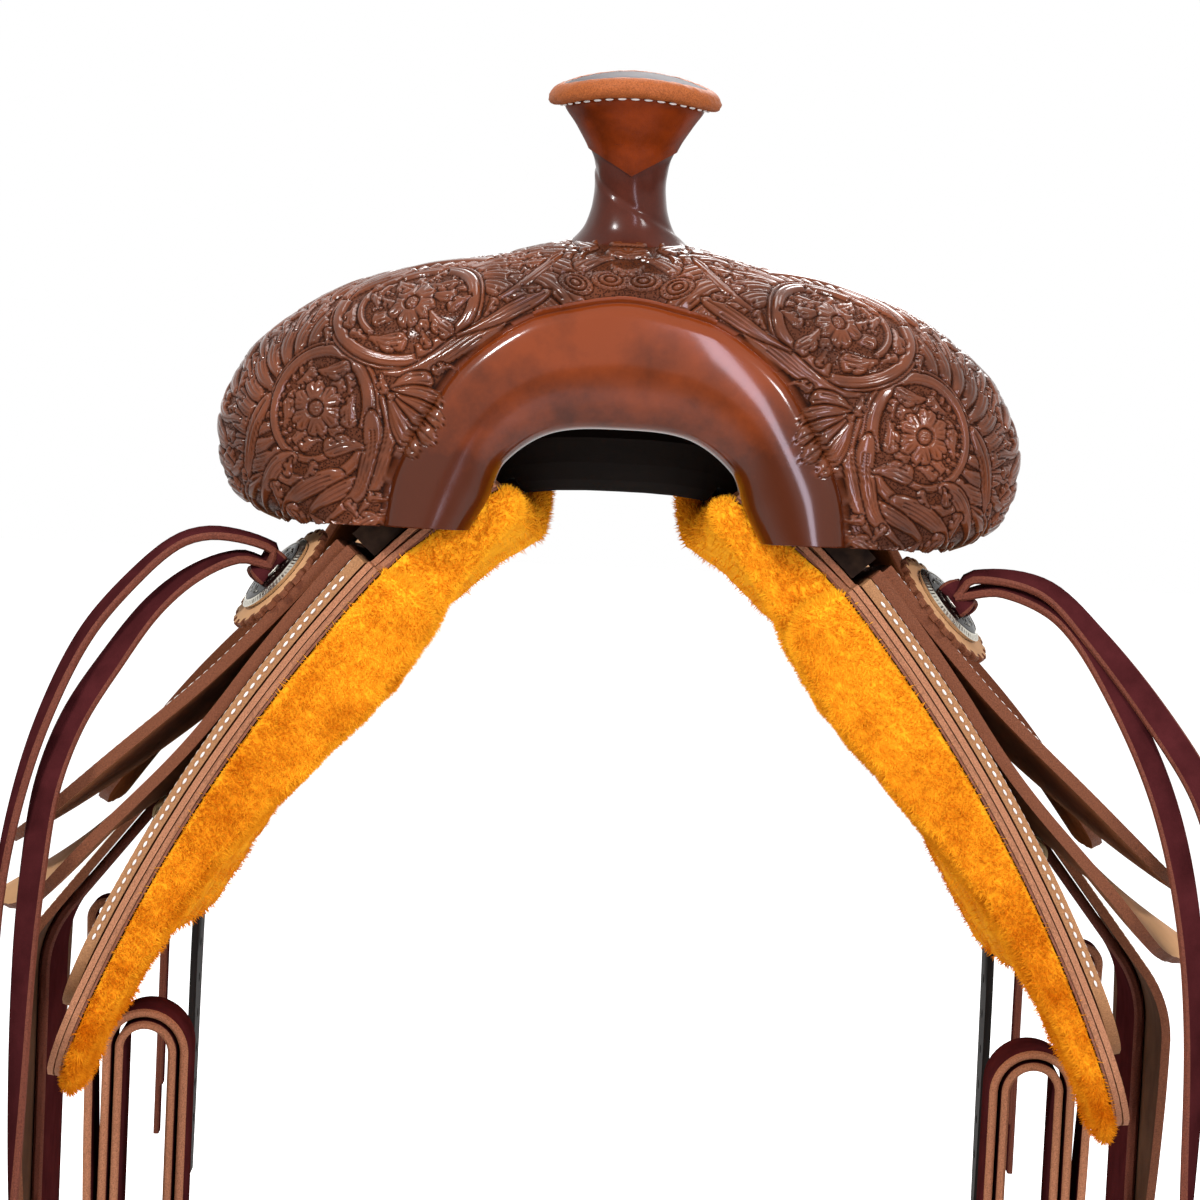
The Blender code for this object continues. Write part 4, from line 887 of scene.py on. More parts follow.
class Carving:
    """A height over points of a flat chart, in millimetres, worked by pressing motifs into it."""

    def __init__(self, chart, low=-1.0):
        self.chart = chart
        self.height = np.full(len(chart), low)
        self.ground = np.ones(len(chart))
        self.low = low

    def close_to(self, line, reach):
        low, high = line.min(0) - reach, line.max(0) + reach
        return np.nonzero(np.all((self.chart > low) & (self.chart < high), axis=1))[0]

    @staticmethod
    def distance(points, line, closed=False):
        """The distance to a line, and the share of the line's length at the nearest point."""
        a = line if closed else line[:-1]
        b = np.roll(line, -1, 0) if closed else line[1:]
        way = b - a
        size = np.maximum((way ** 2).sum(1), 1e-9)
        t = np.clip(((points[:, None] - a) * way).sum(2) / size, 0, 1)
        gap = np.linalg.norm(points[:, None] - (a + way * t[..., None]), axis=2)
        k = gap.argmin(1)
        pick = np.arange(len(points))
        return gap[pick, k], (k + t[pick, k]) / len(a)

    @staticmethod
    def within(points, outline):
        a, b = outline, np.roll(outline, -1, 0)
        x, y = points[:, None, 0], points[:, None, 1]
        cross = (a[:, 1] > y) != (b[:, 1] > y)
        rise = np.where(np.abs(b[:, 1] - a[:, 1]) < 1e-9, 1e-9, b[:, 1] - a[:, 1])
        at = (b[:, 0] - a[:, 0]) * (y - a[:, 1]) / rise + a[:, 0]
        return (cross & (x < at)).sum(1) % 2 == 1

    def press(self, outline, cuts=(), rise=0.35, round_off=1.8, bevel=1.0):
        """Raise what lies inside an outline, bevel down round it, and cut lines into it."""
        spots = self.close_to(outline, bevel)
        if not len(spots):
            return
        points = self.chart[spots]
        gap, _ = self.distance(points, outline, True)
        inside = self.within(points, outline)
        old = self.height[spots]
        top = rise * (1 - np.exp(-gap / round_off)) - 0.45 * np.exp(-(gap / 0.5) ** 2)
        share = smooth(gap / bevel)
        around = np.minimum(old, between(self.low * 1.15, old, share))
        new = np.where(inside, top, np.where(gap < bevel, around, old))
        for line, depth, width in cuts:
            line = np.asarray(line, float)
            away, along = self.distance(points, line)
            fade = depth * (1 - 0.75 * along)
            new = new - np.where(inside, fade * np.exp(-(away / width) ** 2), 0)
        self.height[spots] = new
        self.ground[spots[inside]] = 0.0

    def dot(self, centre, radius, rise=0.4):
        centre = np.asarray(centre, float)
        spots = self.close_to(centre[None], radius * 2)
        gap = np.linalg.norm(self.chart[spots] - centre, axis=1)
        self.height[spots] += np.where(gap < radius * 1.6, -0.45 * np.exp(-((gap - radius) / 0.35) ** 2), 0)
        self.height[spots] += rise * np.exp(-(gap / (radius * 0.75)) ** 4)
        self.ground[spots[gap < radius]] = 0.0

    def leaf(self, base, heading, length, width, curl, lobes=5, rise=0.4):
        """A long swirling leaf, scalloped on its outer side, with veins to each scallop."""
        n = 26
        s = np.linspace(0, 1, n)
        angle = heading + curl * s
        step = length / (n - 1)
        line = np.asarray(base, float) + np.cumsum(spokes(angle) * step, 0)
        side = np.stack([-np.sin(angle), np.cos(angle)], -1) * (1 if curl < 0 else -1)
        body = width * np.power(s, 0.55) * np.power(1 - s, 0.6) * 1.75
        scallop = 0.62 + 0.38 * np.abs(np.sin(pi * lobes * s)) ** 0.55
        outer = line + side * (body * scallop)[:, None] * 0.72
        inner = line - side * (body * 0.34)[:, None]
        outline = np.concatenate([outer, inner[::-1][1:-1]])
        cuts = [(line[2:-2], 0.55, 0.40)]
        for k in range(1, lobes):
            m = min(int((k / lobes) * (n - 1)), n - 2)
            back = max(m - 5, 1)
            middle = (line[back + 2] + outer[m]) / 2 + (line[m] - line[back]) * 0.12
            cuts.append((np.array([outer[m], middle, line[back]]), 0.50, 0.34))
        self.press(outline, cuts, rise)

    def ribbon(self, line, width, lines=(-0.42, 0.42), rise=0.5):
        """A raised band along a line, with fine lines cut along it."""
        side = leftward(line)
        half = (np.broadcast_to(width, (len(line),)) / 2)[:, None]
        outline = np.concatenate([line + side * half, (line - side * half)[::-1]])
        cuts = [((line + side * half * f)[1:-1], 0.42, 0.36) for f in lines]
        self.press(outline, cuts, rise, 1.3, 1.0)

    def plume(self, spots, width, grooves=3, rise=0.5, lobes=0):
        """A long leaf, narrow at its base and round at its tip, with grooves along it."""
        count = 46
        line, s = curve_through(spots, count), np.linspace(0, 1, count)
        side = leftward(line)
        half = width / 2 * (0.26 + 0.74 * smooth(s / 0.6)) * np.sqrt(1.02 - np.clip((s - 0.80) / 0.20, 0, 1) ** 2)
        full = half * (1 + 0.34 * np.abs(np.sin(pi * lobes * s)) ** 0.6) if lobes else half
        outline = np.concatenate([line + side * full[:, None], (line - side * half[:, None])[::-1]])
        cuts = []
        for f in np.linspace(-0.60, 0.60, grooves) if grooves > 1 else (0,):
            last = int(count * (0.94 - 0.28 * abs(f)))
            cuts.append(((line + side * (half * f)[:, None])[2:last:2][::-1], 0.62, 0.44))
        for k in range(1, lobes):
            m, back = int(count * k / lobes), max(int(count * (k / lobes - 0.12)), 0)
            ends = line[m] + side[m] * full[m], line[back] + side[back] * half[back] * 0.2
            cuts.append((np.array(ends), 0.6, 0.4))
        self.press(outline, cuts, rise, 2.4, 1.0)

    def flower(self, centre, radius, petals, turn, rise=0.5):
        """A flower seen from above: notched petals, short cuts in each and a seeded middle."""
        centre = np.asarray(centre, float)
        a = np.linspace(0, 2 * pi, 20 * petals, endpoint=False)
        wave = np.abs(np.sin(petals * (a - turn) / 2))
        notch = 0.10 * np.exp(-((wave - 1) / 0.035) ** 2)
        r = radius * (0.66 + 0.34 * wave ** 0.5 - notch)
        outline = centre + spokes(a) * r[:, None]
        cuts = []
        for k in range(petals):
            edge = turn + 2 * pi * k / petals
            mid = edge + pi / petals
            way = np.array([cos(edge), sin(edge)])
            cuts.append((centre + np.outer([0.68, 0.3], way) * radius, 0.8, 0.45))
            for off, start in ((-0.30, 0.80), (0.0, 0.92), (0.30, 0.80)):
                far = np.array([cos(mid + off), sin(mid + off)]) * radius * start
                near = np.array([cos(mid + off * 0.5), sin(mid + off * 0.5)]) * radius * 0.42
                cuts.append((centre + np.array([far, near]), 0.55, 0.32))
        self.press(outline, cuts, rise, round_off=3.0)
        ring = centre + spokes(a) * radius * 0.27
        self.press(ring, (), rise + 0.15, round_off=1.0, bevel=0.9)
        for k in range(6):
            self.dot(centre + radius * 0.15 * np.array([cos(k * pi / 3), sin(k * pi / 3)]), radius * 0.052)
        self.dot(centre, radius * 0.055)


def oval(centre, wide, high, tilt, start, end, count=70):
    a = np.linspace(start, end, count)
    spots = np.stack([wide * np.cos(a), high * np.sin(a)], -1)
    return np.asarray(centre, float) + spots @ np.array([[cos(tilt), sin(tilt)], [-sin(tilt), cos(tilt)]])


def medallion(work, centre, wide, high, tilt, start, petals, turn, bands=2):
    """Sweeping bands round a flower that stands on a small stippled ground among leaves."""
    middle = np.asarray(centre, float)
    for k in range(bands, 0, -1):
        grow, first = 3.6 * k - 1.6, start + 1.9 * k
        ring = oval(centre, wide + grow, high + grow, tilt, first, first + 2 * pi * 0.86, 90)
        ring = middle + (ring - middle) * np.linspace(1.0, 1.20 + 0.06 * k, 90)[:, None]
        work.ribbon(ring, np.linspace(3.0, 6.2, 90), (0,) if k % 2 else (-0.3, 0.3))
    low = min(wide, high)
    for k in range(9):
        a = turn + 0.35 + k * 2 * pi / 9
        out = oval(centre, wide * 0.93, high * 0.93, tilt, a, a + 0.75, 4)
        root = oval(centre, wide * 0.45, high * 0.45, tilt, a - 0.2, a - 0.1, 2)[:1]
        if k % 2:
            middle_way = (root + out[1:2]) / 2 + (out[1:2] - out[:1]) * 0.2
            work.plume(np.vstack([root, middle_way, out[1:2]]), low * 0.40, 2, 0.45)
        else:
            for j, near in enumerate((0.90, 0.74)):
                work.dot(between(np.asarray(centre, float), out[0], near), low * (0.085 - 0.015 * j), 0.6)
    work.flower(centre, low * 0.76, petals, turn)


BAND_ROWS = ((1.0, .0480), (1.0, .0400), (1.0, .0300), (1.0, .0200), (1.0, .0140), (1.0, .0110), (.992, .0085),
             (.975, .0062), (.95, .0040))
COLUMNS = 440
FRONT_ROWS = 200
BACK_ROWS = 100
ARCH_ROWS = 30
FRONT_END = 0.44


def fork_grid():
    """The fork's whole skin on the near side, its flat chart in mm, and the length of each row from the border."""
    border, outer, arch = (
        np.array([smooth_path(outline, share, True) for share in np.linspace(0, 1, COLUMNS)])
        for outline in (BAND_OUTLINE, SWELL_OUTLINE, ARCH_OUTLINE))
    points, flat, length = [], [], []
    inward = np.linalg.norm(arch - border, axis=1)
    roll = curve_through(BAND_SECTION, 60)
    for e, depth in list(BAND_ROWS) + [(e, float(np.interp(e, roll[:, 0], roll[:, 1])))
                                       for e in np.linspace(0.93, 0.012, ARCH_ROWS)]:
        spot = border + (arch - border) * e
        points.append(np.stack([spot[:, 0], np.full(COLUMNS, FORK_FRONT_Y + depth), ARCH_TOP + spot[:, 1]], -1))
        flat.append(spot * 1000)
        length.append(-inward * e * 1000)
    way = unit(outer - border)
    reach = np.linalg.norm(outer - border, axis=1)
    front, back = FORK_WIDEST_Y - FORK_FRONT_Y, FORK_BACK_Y - FORK_WIDEST_Y
    turns = np.concatenate([np.linspace(0.012, FRONT_END, FRONT_ROWS - ARCH_ROWS - len(BAND_ROWS)),
                            np.linspace(FRONT_END, 1.0, BACK_ROWS)[1:]])
    run, last = np.zeros(COLUMNS), None
    for t in turns:
        if t < 0.5:
            out, y = sin(pi * t), FORK_WIDEST_Y - front * cos(pi * t)
        else:
            out, y = between(0.25, 1.0, cos(pi * (t - 0.5))), FORK_WIDEST_Y + back * sin(pi * (t - 0.5))
        spot = border + (outer - border) * out
        place = np.stack([spot[:, 0], np.full(COLUMNS, y), ARCH_TOP + spot[:, 1]], -1)
        if last is not None:
            run = run + np.linalg.norm(place - last, axis=1) * 1000
        else:
            run = reach * out * 1000
        last = place
        points.append(place)
        flat.append(border * 1000 + way * run[:, None])
        length.append(run.copy())
    return np.array(points), np.array(flat), np.array(length)


BAND_SECTION = ((0.012, 0.0025), (0.12, -0.0015), (0.45, -0.0040), (0.80, -0.0015), (0.96, 0.0040))


def carve(points, flat, length):
    """Press the medallions, plumes and leaves into the fork's cover; places are in mm across and above the arch."""
    rows, columns = length.shape
    work = Carving(flat.reshape(-1, 2), -0.8)
    front = points[:FRONT_ROWS].reshape(-1, 3)
    view = np.stack([front[:, 0], front[:, 2] - ARCH_TOP], -1) * 1000

    def at(x, h):
        return work.chart[np.linalg.norm(view - (x, h), axis=1).argmin()]

    upper, lower = at(92, 50), at(131, 3)
    for centre, size, first, last, count in ((upper, 27, 0.35, 2.75, 12), (lower, 25, -1.15, 1.25, 11)):
        for k, a in enumerate(np.linspace(first, last, count)):
            for reach, turn in ((size + 26, 0.36), (size + 50, 0.62)):
                start = reach - 34
                spots = [centre + r * np.array([cos(a + t), sin(a + t)])
                         for r, t in ((start, turn - 0.36), (between(start, reach, 0.5), turn - 0.24), (reach, turn))]
                work.plume(spots, 9.5 if reach > 70 else 7.6, 3, 0.45, 3 * (k % 2))
    run = length.reshape(-1)
    for share, line in ((0.30, 0.46), (0.70, 0.52), (0.05, 0.50)):
        centre = flat[FRONT_ROWS + int(BACK_ROWS * line), int(COLUMNS * share)]
        medallion(work, centre, 15, 13, 0.3, 1.0, 6, 0.4, 1)
    medallion(work, lower, 17, 20, 0.25, 2.2, 6, 0.9)
    medallion(work, upper, 22, 15.5, -0.12, 3.6, 5, 0.3, 3)
    for spots, width, grooves in (
            (((157, -43), (161, -26), (159, -8), (152, 8)), 7, 3),
            (((151, -44), (152, -32), (147, -22), (138, -18)), 7.5, 3),
            (((143, -46), (140, -36), (130, -29), (117, -24)), 8.5, 4),
            (((133, -46), (129, -38), (120, -32), (108, -26)), 7, 3),
            (((125, -47), (119, -40), (110, -30), (106, -12), (107, 4)), 8.5, 4),
            (((114, -47), (107, -36), (101, -20), (98, -2), (103, 12)), 7, 3),
            (((104, -46), (98, -34), (95, -20), (93, -8)), 5.5, 2),
            (((104, 20), (92, 21), (78, 28), (66, 37), (50, 48)), 8.5, 4),
            (((72, 37), (58, 44), (44, 52), (32, 58)), 6.5, 3),
            (((58, 52), (48, 58), (38, 66), (28, 74)), 6, 3)):
        work.plume([at(x, h) for x, h in spots], width, grooves)
    before = work.ground.copy()
    work.ground[:] = 1
    for tip, bend in (((81, 17), 2), ((76, 8), 1), ((75, -1), 0), ((79, -9), -1), ((86, -16), -2)):
        base = np.array([101, 12])
        way = np.array(tip) - base
        spots = [base + way * f + np.array([0, 1]) * bend * 4 * f * (1 - f) for f in (0, .35, .7, 1)]
        work.plume([at(*spot) for spot in spots], 9, 3, 0.7)
    work.dot(at(99, 10), 2.0, 0.7)
    fan = work.ground < 0.5
    work.ground = np.minimum(before, work.ground)
    for x, h, turn in ((22, 62, 0.45), (7, 64, 0.1)):
        for reach, rise in ((1.0, 0.3), (0.62, 0.5), (0.3, 0.6)):
            work.press(oval(at(x, h), 8.6 * reach, 4.8 * reach, turn, 0, 2 * pi * 0.97, 30), (), rise, 1.0, 0.8)
        for k in range(18):
            work.dot(oval(at(x, h), 7.1, 3.8, turn, k * pi / 9, 0, 2)[0], 0.55, 0.35)
    fill_ground(work, run)
    leafy = fan & (run > -15)
    plain = (run < 1.6) & ~leafy
    height = np.where(plain, 0.0, work.height)
    ground = np.where(plain | leafy, 0, work.ground)
    return height.reshape(rows, columns), ground.reshape(rows, columns), plain.reshape(rows, columns)


def fill_ground(work, run):
    """Lay small leaves in the widest bare places until little ground is left."""
    free = np.nonzero((run > 4) & (work.ground > 0.5))[0][::9]
    spots = work.chart[free]
    clear = np.minimum(30.0, run[free] * 1.2)
    taken = work.chart[(work.ground < 0.5)][::23]
    for start in range(0, len(taken), 400):
        part = taken[start:start + 400]
        clear = np.minimum(clear, np.linalg.norm(spots[:, None] - part, axis=2).min(1))
    for step in range(220):
        k = int(clear.argmax())
        if clear[k] < 2.7:
            break
        size = min(clear[k], 9.0)
        centre, turn = spots[k], step * 2.4
        long = max(size * 2.6, 9.0)
        way, off = np.array([cos(turn), sin(turn)]), np.array([-sin(turn), cos(turn)])
        ends = [centre - way * long * 0.5, centre + off * long * 0.10, centre + way * long * 0.5]
        work.plume(ends, max(size * 1.1, 3.2), 2 if size < 4 else 3, 0.4, 3 if size > 3 else 0)
        line = centre + np.outer(np.linspace(-0.42, 0.42, 5) * long, way)
        clear = np.minimum(clear, np.maximum(np.linalg.norm(spots[:, None] - line, axis=2).min(1) - size * 0.55, 0))


def blurred(field, times=6):
    soft = field.copy()
    for _ in range(times):
        padded = np.pad(soft, 1, mode="edge")
        soft = (padded[:-2, 1:-1] + padded[2:, 1:-1] + padded[1:-1, :-2] + padded[1:-1, 2:] + 2 * soft) / 6
    return soft


def sheet_part(name, points, normals, values, flip, materials):
    """One part of the fork's skin, with its stored masks."""
    rows, columns = points.shape[:2]
    faces = grid_faces(rows, columns)
    if flip:
        faces = faces[:, ::-1]
    made = make(name, points, faces, materials, recalc=False, sharp=None)
    for key, field in values.items():
        store(made, key, field)
    made.data.normals_split_custom_set_from_vertices(normals.reshape(-1, 3).tolist())
    return made


def outward(points):
    along, across = np.gradient(points, axis=1), np.gradient(points, axis=0)
    way = unit(np.cross(along, across))
    way[:, 0, 0] = 0
    return unit(way)


class SADDLE_OT_fork(bpy.types.Operator):
    """Carved swell cover and the plain band round the gullet"""
    bl_idname = "saddle.fork"
    bl_label = "Carved fork"

    def execute(self, context):
        relief = context.scene.saddle_sizes.relief
        points, flat, length = fork_grid()
        height, ground, plain = carve(points, flat, length)
        sink = np.clip((blurred(height, 10) - height) / 0.38, 0, 1)
        sink = np.clip(sink - 0.06 + np.clip(-height - 0.55, 0, 1) * 0.5, 0, 1)
        sink = np.where(plain, np.clip(-height, 0, 0.6), sink)
        height = blurred(height, 1)
        out = outward(points)
        proud = blurred(np.where(plain, 0.0012, 0.0015), 3)
        dressed = points + out * (proud + height * relief)[..., None]
        dressed[0] -= out[0] * 0.0030
        dressed[-1] -= out[-1] * 0.0045
        dressed[:, -1] -= out[:, -1] * 0.0045
        smooth_out = outward(dressed)
        values = {"sink": sink, "ground": blurred(ground, 1), "plain": blurred(plain.astype(float), 1)}
        for label, side in SIDES:
            mirror = np.array([side, 1, 1])
            for part, rows in (("front", slice(0, FRONT_ROWS)), ("rear", slice(FRONT_ROWS - 1, None))):
                skin = sheet_part(f"carved_{part}_{label}", dressed[rows] * mirror, smooth_out[rows] * mirror,
                                  {k: v[rows] for k, v in values.items()}, side < 0, finishes("carved"))
                ride(skin, "saddle", slot="carved_leather")
        dress("gullet_cover", "band")
        return {"FINISHED"}


# ---- horn ---------------------------------------------------------------------------------------

HORN = Matrix.Translation((0, FORK_WIDEST_Y, ARCH_TOP + NECK_BASE)) @ Matrix.Rotation(HORN_LEAN, 4, "X")
HORN_CONE = ((.0172, .1030), (.0164, .1075), (.0169, .1120), (.0197, .1215), (.0247, .1305), (.0300, .1400),
             (.0307, CONE_TOP + .0020))
FOLD_RISE = 0.0105
ROLL = 0.0048


def up(height):
    return height - NECK_BASE


def drooped(points):
    """The horn's head bends down a little towards its sides."""
    share = smooth((points[:, 2] - up(.116)) / .0235)
    return points + np.outer(share * (.0030 - .0075 * (points[:, 0] / CAP_RADIUS) ** 2), (0, 0, 1))


def horn_stitches(name, radius, height, facing):
    angles = np.linspace(0, 2 * pi, 160)
    around = np.stack([np.cos(angles), np.sin(angles), 0 * angles], -1)
    line = moved(drooped(around * radius + (0, 0, height)), HORN)
    way = (around * facing[0] + (0, 0, facing[1])) @ np.array(HORN)[:3, :3].T
    stitches(name, line, way, 0.0040, 0.0056, "edged_leather")


class SADDLE_OT_horn(bpy.types.Operator):
    """Horn cap with its rough edge, folded upper wrap and dark neck wrap"""
    bl_idname = "saddle.horn"
    bl_label = "Horn"

    def execute(self, context):
        top, cone, edge = up(CAP_TOP), up(CONE_TOP), CAP_RADIUS
        roll = [(edge - ROLL + ROLL * cos(a), top - .0046 + .0044 * sin(a))
                for a in np.radians(np.linspace(112, -105, 15))]
        profile = [(0, top + .0004), (.012, top + .0003), (.022, top), (.0275, top - .0004), (.0308, top - .0009),
                   *roll, (CONE_RADIUS + .0008, cone + .0034), (edge - .0045, cone + .0042),
                   (edge - .0045, top - .0039), (0, top - .0039)]

        def rough(angles, k):
            if not 5 <= k <= 19:
                return 0, 0
            wave = ring_noise(angles, 9, k * 0.7)
            return wave * 0.0005, np.roll(wave, 7) * 0.0003

        cap = turned("horn_cap", profile, finishes("cap", "roll", "horn"), HORN, 240,
                     [0] * 5 + [1] * 14 + [2] * 4, rough, drooped)
        ride(cap, "saddle", "horn_cap_leather", slot="edged_leather")
        horn_stitches("horn_cap_stitches", .0326, cone + .0031, (0.45, -0.9))
        post = [(0, top - .0043), (.0325, top - .0043), (.0325, top - .0058), (.0125, cone - .010),
                (.0125, up(.0780)), (0, up(.0780))]
        core = turned("horn_post", post, finishes("wood"), HORN, 64, None, None, drooped)
        ride(core, "saddle", "horn_core", slot="tree_wood")
        heights = np.linspace(WRAP_JOINT, CONE_TOP + .0032, 44)
        outline = curve_through(HORN_CONE, 60)

        def reach(height):
            return np.interp(height, outline[:, 1], outline[:, 0])

        outer = [(float(reach(h)), up(h)) for h in heights[::-1]]
        inner = [(outer[-1][0] - .0012, outer[-1][1]), (outer[0][0] - .003, outer[0][1])]

        def fold(angles, k):
            """The lower edge is a V in front and level behind."""
            level = 1 - min(k, 43) / 43 if k < 45 else 1
            turn = np.angle(np.exp(1j * (angles + pi / 2)))
            rise = np.where(np.abs(turn) < pi / 2, FOLD_RISE * np.abs(np.sin(turn)), FOLD_RISE)
            rise = rise * (1 - level)
            height = WRAP_JOINT + (CONE_TOP + .0032 - WRAP_JOINT) * level
            wave = ring_noise(angles, 3, level * 3)
            ragged = ring_noise(angles, 14, 5) * (level > 0.97)
            return reach(height + rise) - reach(height) + 0.0003 * wave + 0.0006 * ragged, rise

        wrap = turned("horn_cone_wrap", outer + inner, finishes("horn"), HORN, 240, None, fold, drooped)
        ride(wrap, "saddle", "horn_upper_wrap", slot="smooth_leather")
        neck = curve_through(((.0208, .1250), (.0187, .1215), (.0167, .1170), (.0159, .1115), (.0156, NECK_WAIST),
                              (.0158, .1010), (.0166, .0945), (.0186, .0885), (.0213, .0845), (.0262, .0800),
                              (.0320, .0778)), 52)
        rows = [(r, up(h)) for r, h in neck] + [(.0135, up(.0775)), (.0135, up(.1250))]

        def turns(angles, k):
            if k >= 52:
                return 0, 0
            share = k / 51
            line = np.angle(np.exp(1j * (angles + pi / 2))) * 0.16 + 0.50
            step = 0.0006 * smooth((share - line) / 0.05)
            wave = ring_noise(angles, 2, share * 4)
            return step + 0.0004 * wave - 0.0003 * np.exp(-((share - line) / 0.03) ** 2), 0

        lower = turned("horn_neck", rows, finishes("neck"), HORN, 200, None, turns)
        ride(lower, "saddle", "horn_neck_wrap", slot="burgundy_leather")
        return {"FINISHED"}


# ---- skirts and flaps ---------------------------------------------------------------------------

def mirror_x(points, side):
    return points * np.array([side, 1, 1])


def laid(name, side, y0, y1, top, bottom, inner, thickness, materials, rows=120, columns=44, rough=0.0005,
         warp=1.25, edge=0.0009):
    """A sheet laid on the back's shape, its inner face at depth inner(s, y), with a rough cut edge."""
    y = eased(y0, y1, rows)
    u = np.linspace(0, 1, columns) ** warp
    low, high = np.array([top(v) for v in y]), np.array([bottom(v) for v in y])
    s = low[:, None] + (high - low)[:, None] * u
    ys = np.repeat(y[:, None], columns, 1)
    depth = inner(s, ys) + 0 * s
    inside, outside = back_point(s, ys, depth), back_point(s, ys, depth + thickness)
    if rough:
        rough_rim((inside, outside), rough)
    return shell(name, mirror_x(outside, side), mirror_x(inside, side), materials, edge)


def flap_outline(y0, y1, s0, bottom, inset):
    """A sheet's front, lower and rear edges in (y, s), moved in by an inset."""
    y = eased(y0, y1, 140)
    low = np.array([float(bottom(v)) for v in y])
    front = np.stack([np.full(30, y0), np.linspace(s0, low[0], 30)], -1)
    rear = np.stack([np.full(30, y1), np.linspace(low[-1], min(s0, low[-1] - .02), 30)], -1)
    line = np.concatenate([front[:-1], np.stack([y, low], -1), rear[1:]])
    line = line[np.concatenate([[True], np.linalg.norm(np.diff(line, axis=0), axis=1) > 2e-5])]
    way = unit(np.gradient(line, axis=0))
    for _ in range(4):
        way = unit(np.vstack([way[:1], (way[:-2] + way[1:-1] + way[2:]) / 3, way[-1:]]))
    return line + np.stack([way[:, 1], -way[:, 0]], -1) * inset


def sewn(name, side, outline, depth, slot="natural_leather"):
    """Stitches along an outline on a sheet's outer face."""
    y, s = outline[:, 0], outline[:, 1]
    line = back_point(s, y, depth(s, y))
    step = 0.002
    down = back_point(s + step, y, depth(s + step, y)) - line
    way = unit(np.stack([-down[:, 2], 0 * y, down[:, 0]], -1))
    pitch = bpy.context.scene.saddle_sizes.stitch_pitch
    stitches(name, mirror_x(line, side), mirror_x(way, side), STITCH, pitch, slot)


def skirt_top(y):
    return 0.062 if y < RECESS_Y else 0.062 * (1 - float(smooth((y - RECESS_Y) / 0.004)))


def skirt_bottom(y):
    depth = SKIRT_DEEP - (SKIRT_DEEP - SKIRT_SHALLOW) * smooth((y + 0.225) / 0.060)
    return depth - corner(y - FRONT_Y, 0.045) - corner(REAR_Y - y, 0.080)


def flat(depth):
    return lambda s, y: depth + 0 * s


class SADDLE_OT_skirts(bpy.types.Operator):
    """Layered skirts and the rigging plates laid on them"""
    bl_idname = "saddle.skirts"
    bl_label = "Skirts"

    def execute(self, context):
        for label, side in SIDES:
            names = []
            for part, d0, d1, shift, edge in (("lining", 0.0, .0010, -.0004, "hide"),
                                              ("inner", .0013, .0039, .0009, "edge_pale"),
                                              ("outer", .0043, SKIRT_T, 0.0, "edge_pale")):
                face = FINISH["skirt"] if part == "outer" else FINISH["rough"]
                names.append(laid(f"skirt_{part}_{label}", side, FRONT_Y + shift, REAR_Y - abs(shift), skirt_top,
                                  lambda y, shift=shift: skirt_bottom(y) - abs(shift), flat(d0), d1 - d0,
                                  [face, FINISH[edge], FINISH["rough"]], 170, 30, 0.0010, edge=0.0008))
            for layer in names:
                ride(layer, "saddle", f"skirt_{label}", slot="edged_leather")
            outline = flap_outline(FRONT_Y, REAR_Y, 0.13, skirt_bottom, 0.007)
            keep = outline[outline[:, 0] > -0.262]
            sewn(f"skirt_stitches_{label}", side, keep, flat(SKIRT_T), slot="edged_leather")

            def plate_bottom(y):
                depth = 0.300 - 0.040 * smooth((y + 0.215) / 0.060)
                return depth - corner(y - PLATE_FRONT, 0.040) - corner(PLATE_REAR - y, 0.050)

            def plate_top(y):
                return 0.060 + 0.050 * smooth((y + 0.115) / 0.030) + 0.0035

            depth = SKIRT_T + GAP + FINE_GAP
            plate = laid(f"rigging_leather_{label}", side, PLATE_FRONT, PLATE_REAR, plate_top, plate_bottom,
                         flat(depth), PLATE_T, finishes("natural", "edge_tan", "rough"), 110, 50, 0.0005, edge=0.0016)
            ride(plate, "saddle", f"rigging_plate_{label}", slot="natural_leather")
            s = np.linspace(.075, .262, 60)
            front = back_point(s, -.2685, depth + PLATE_T * .5)
            stitches(f"rigging_edge_stitches_{label}", mirror_x(front, side), (0, -1, 0), STITCH, .0046,
                     "natural_leather")
            for inset in (0.0045, 0.0085):
                sewn(f"rigging_stitches_{int(inset * 1e4)}_{label}", side,
                     flap_outline(PLATE_FRONT, PLATE_REAR, 0.068, plate_bottom, inset), flat(depth + PLATE_T))
        return {"FINISHED"}


def rim_loop(grid):
    return np.concatenate([grid[0, :-1], grid[:-1, -1], grid[-1, :0:-1], grid[:0:-1, 0]])


def wool_lock():
    """A lock of wool, one long: a thin leaning spike with three sides."""
    points = [(0.11 * cos(a), 0.11 * sin(a), -0.1) for a in (0, 2 * pi / 3, 4 * pi / 3)] + [(0.25, 0, 0.95)]
    return hidden("fleece_lock", points, [(0, 1, 3), (1, 2, 3), (2, 0, 3)])


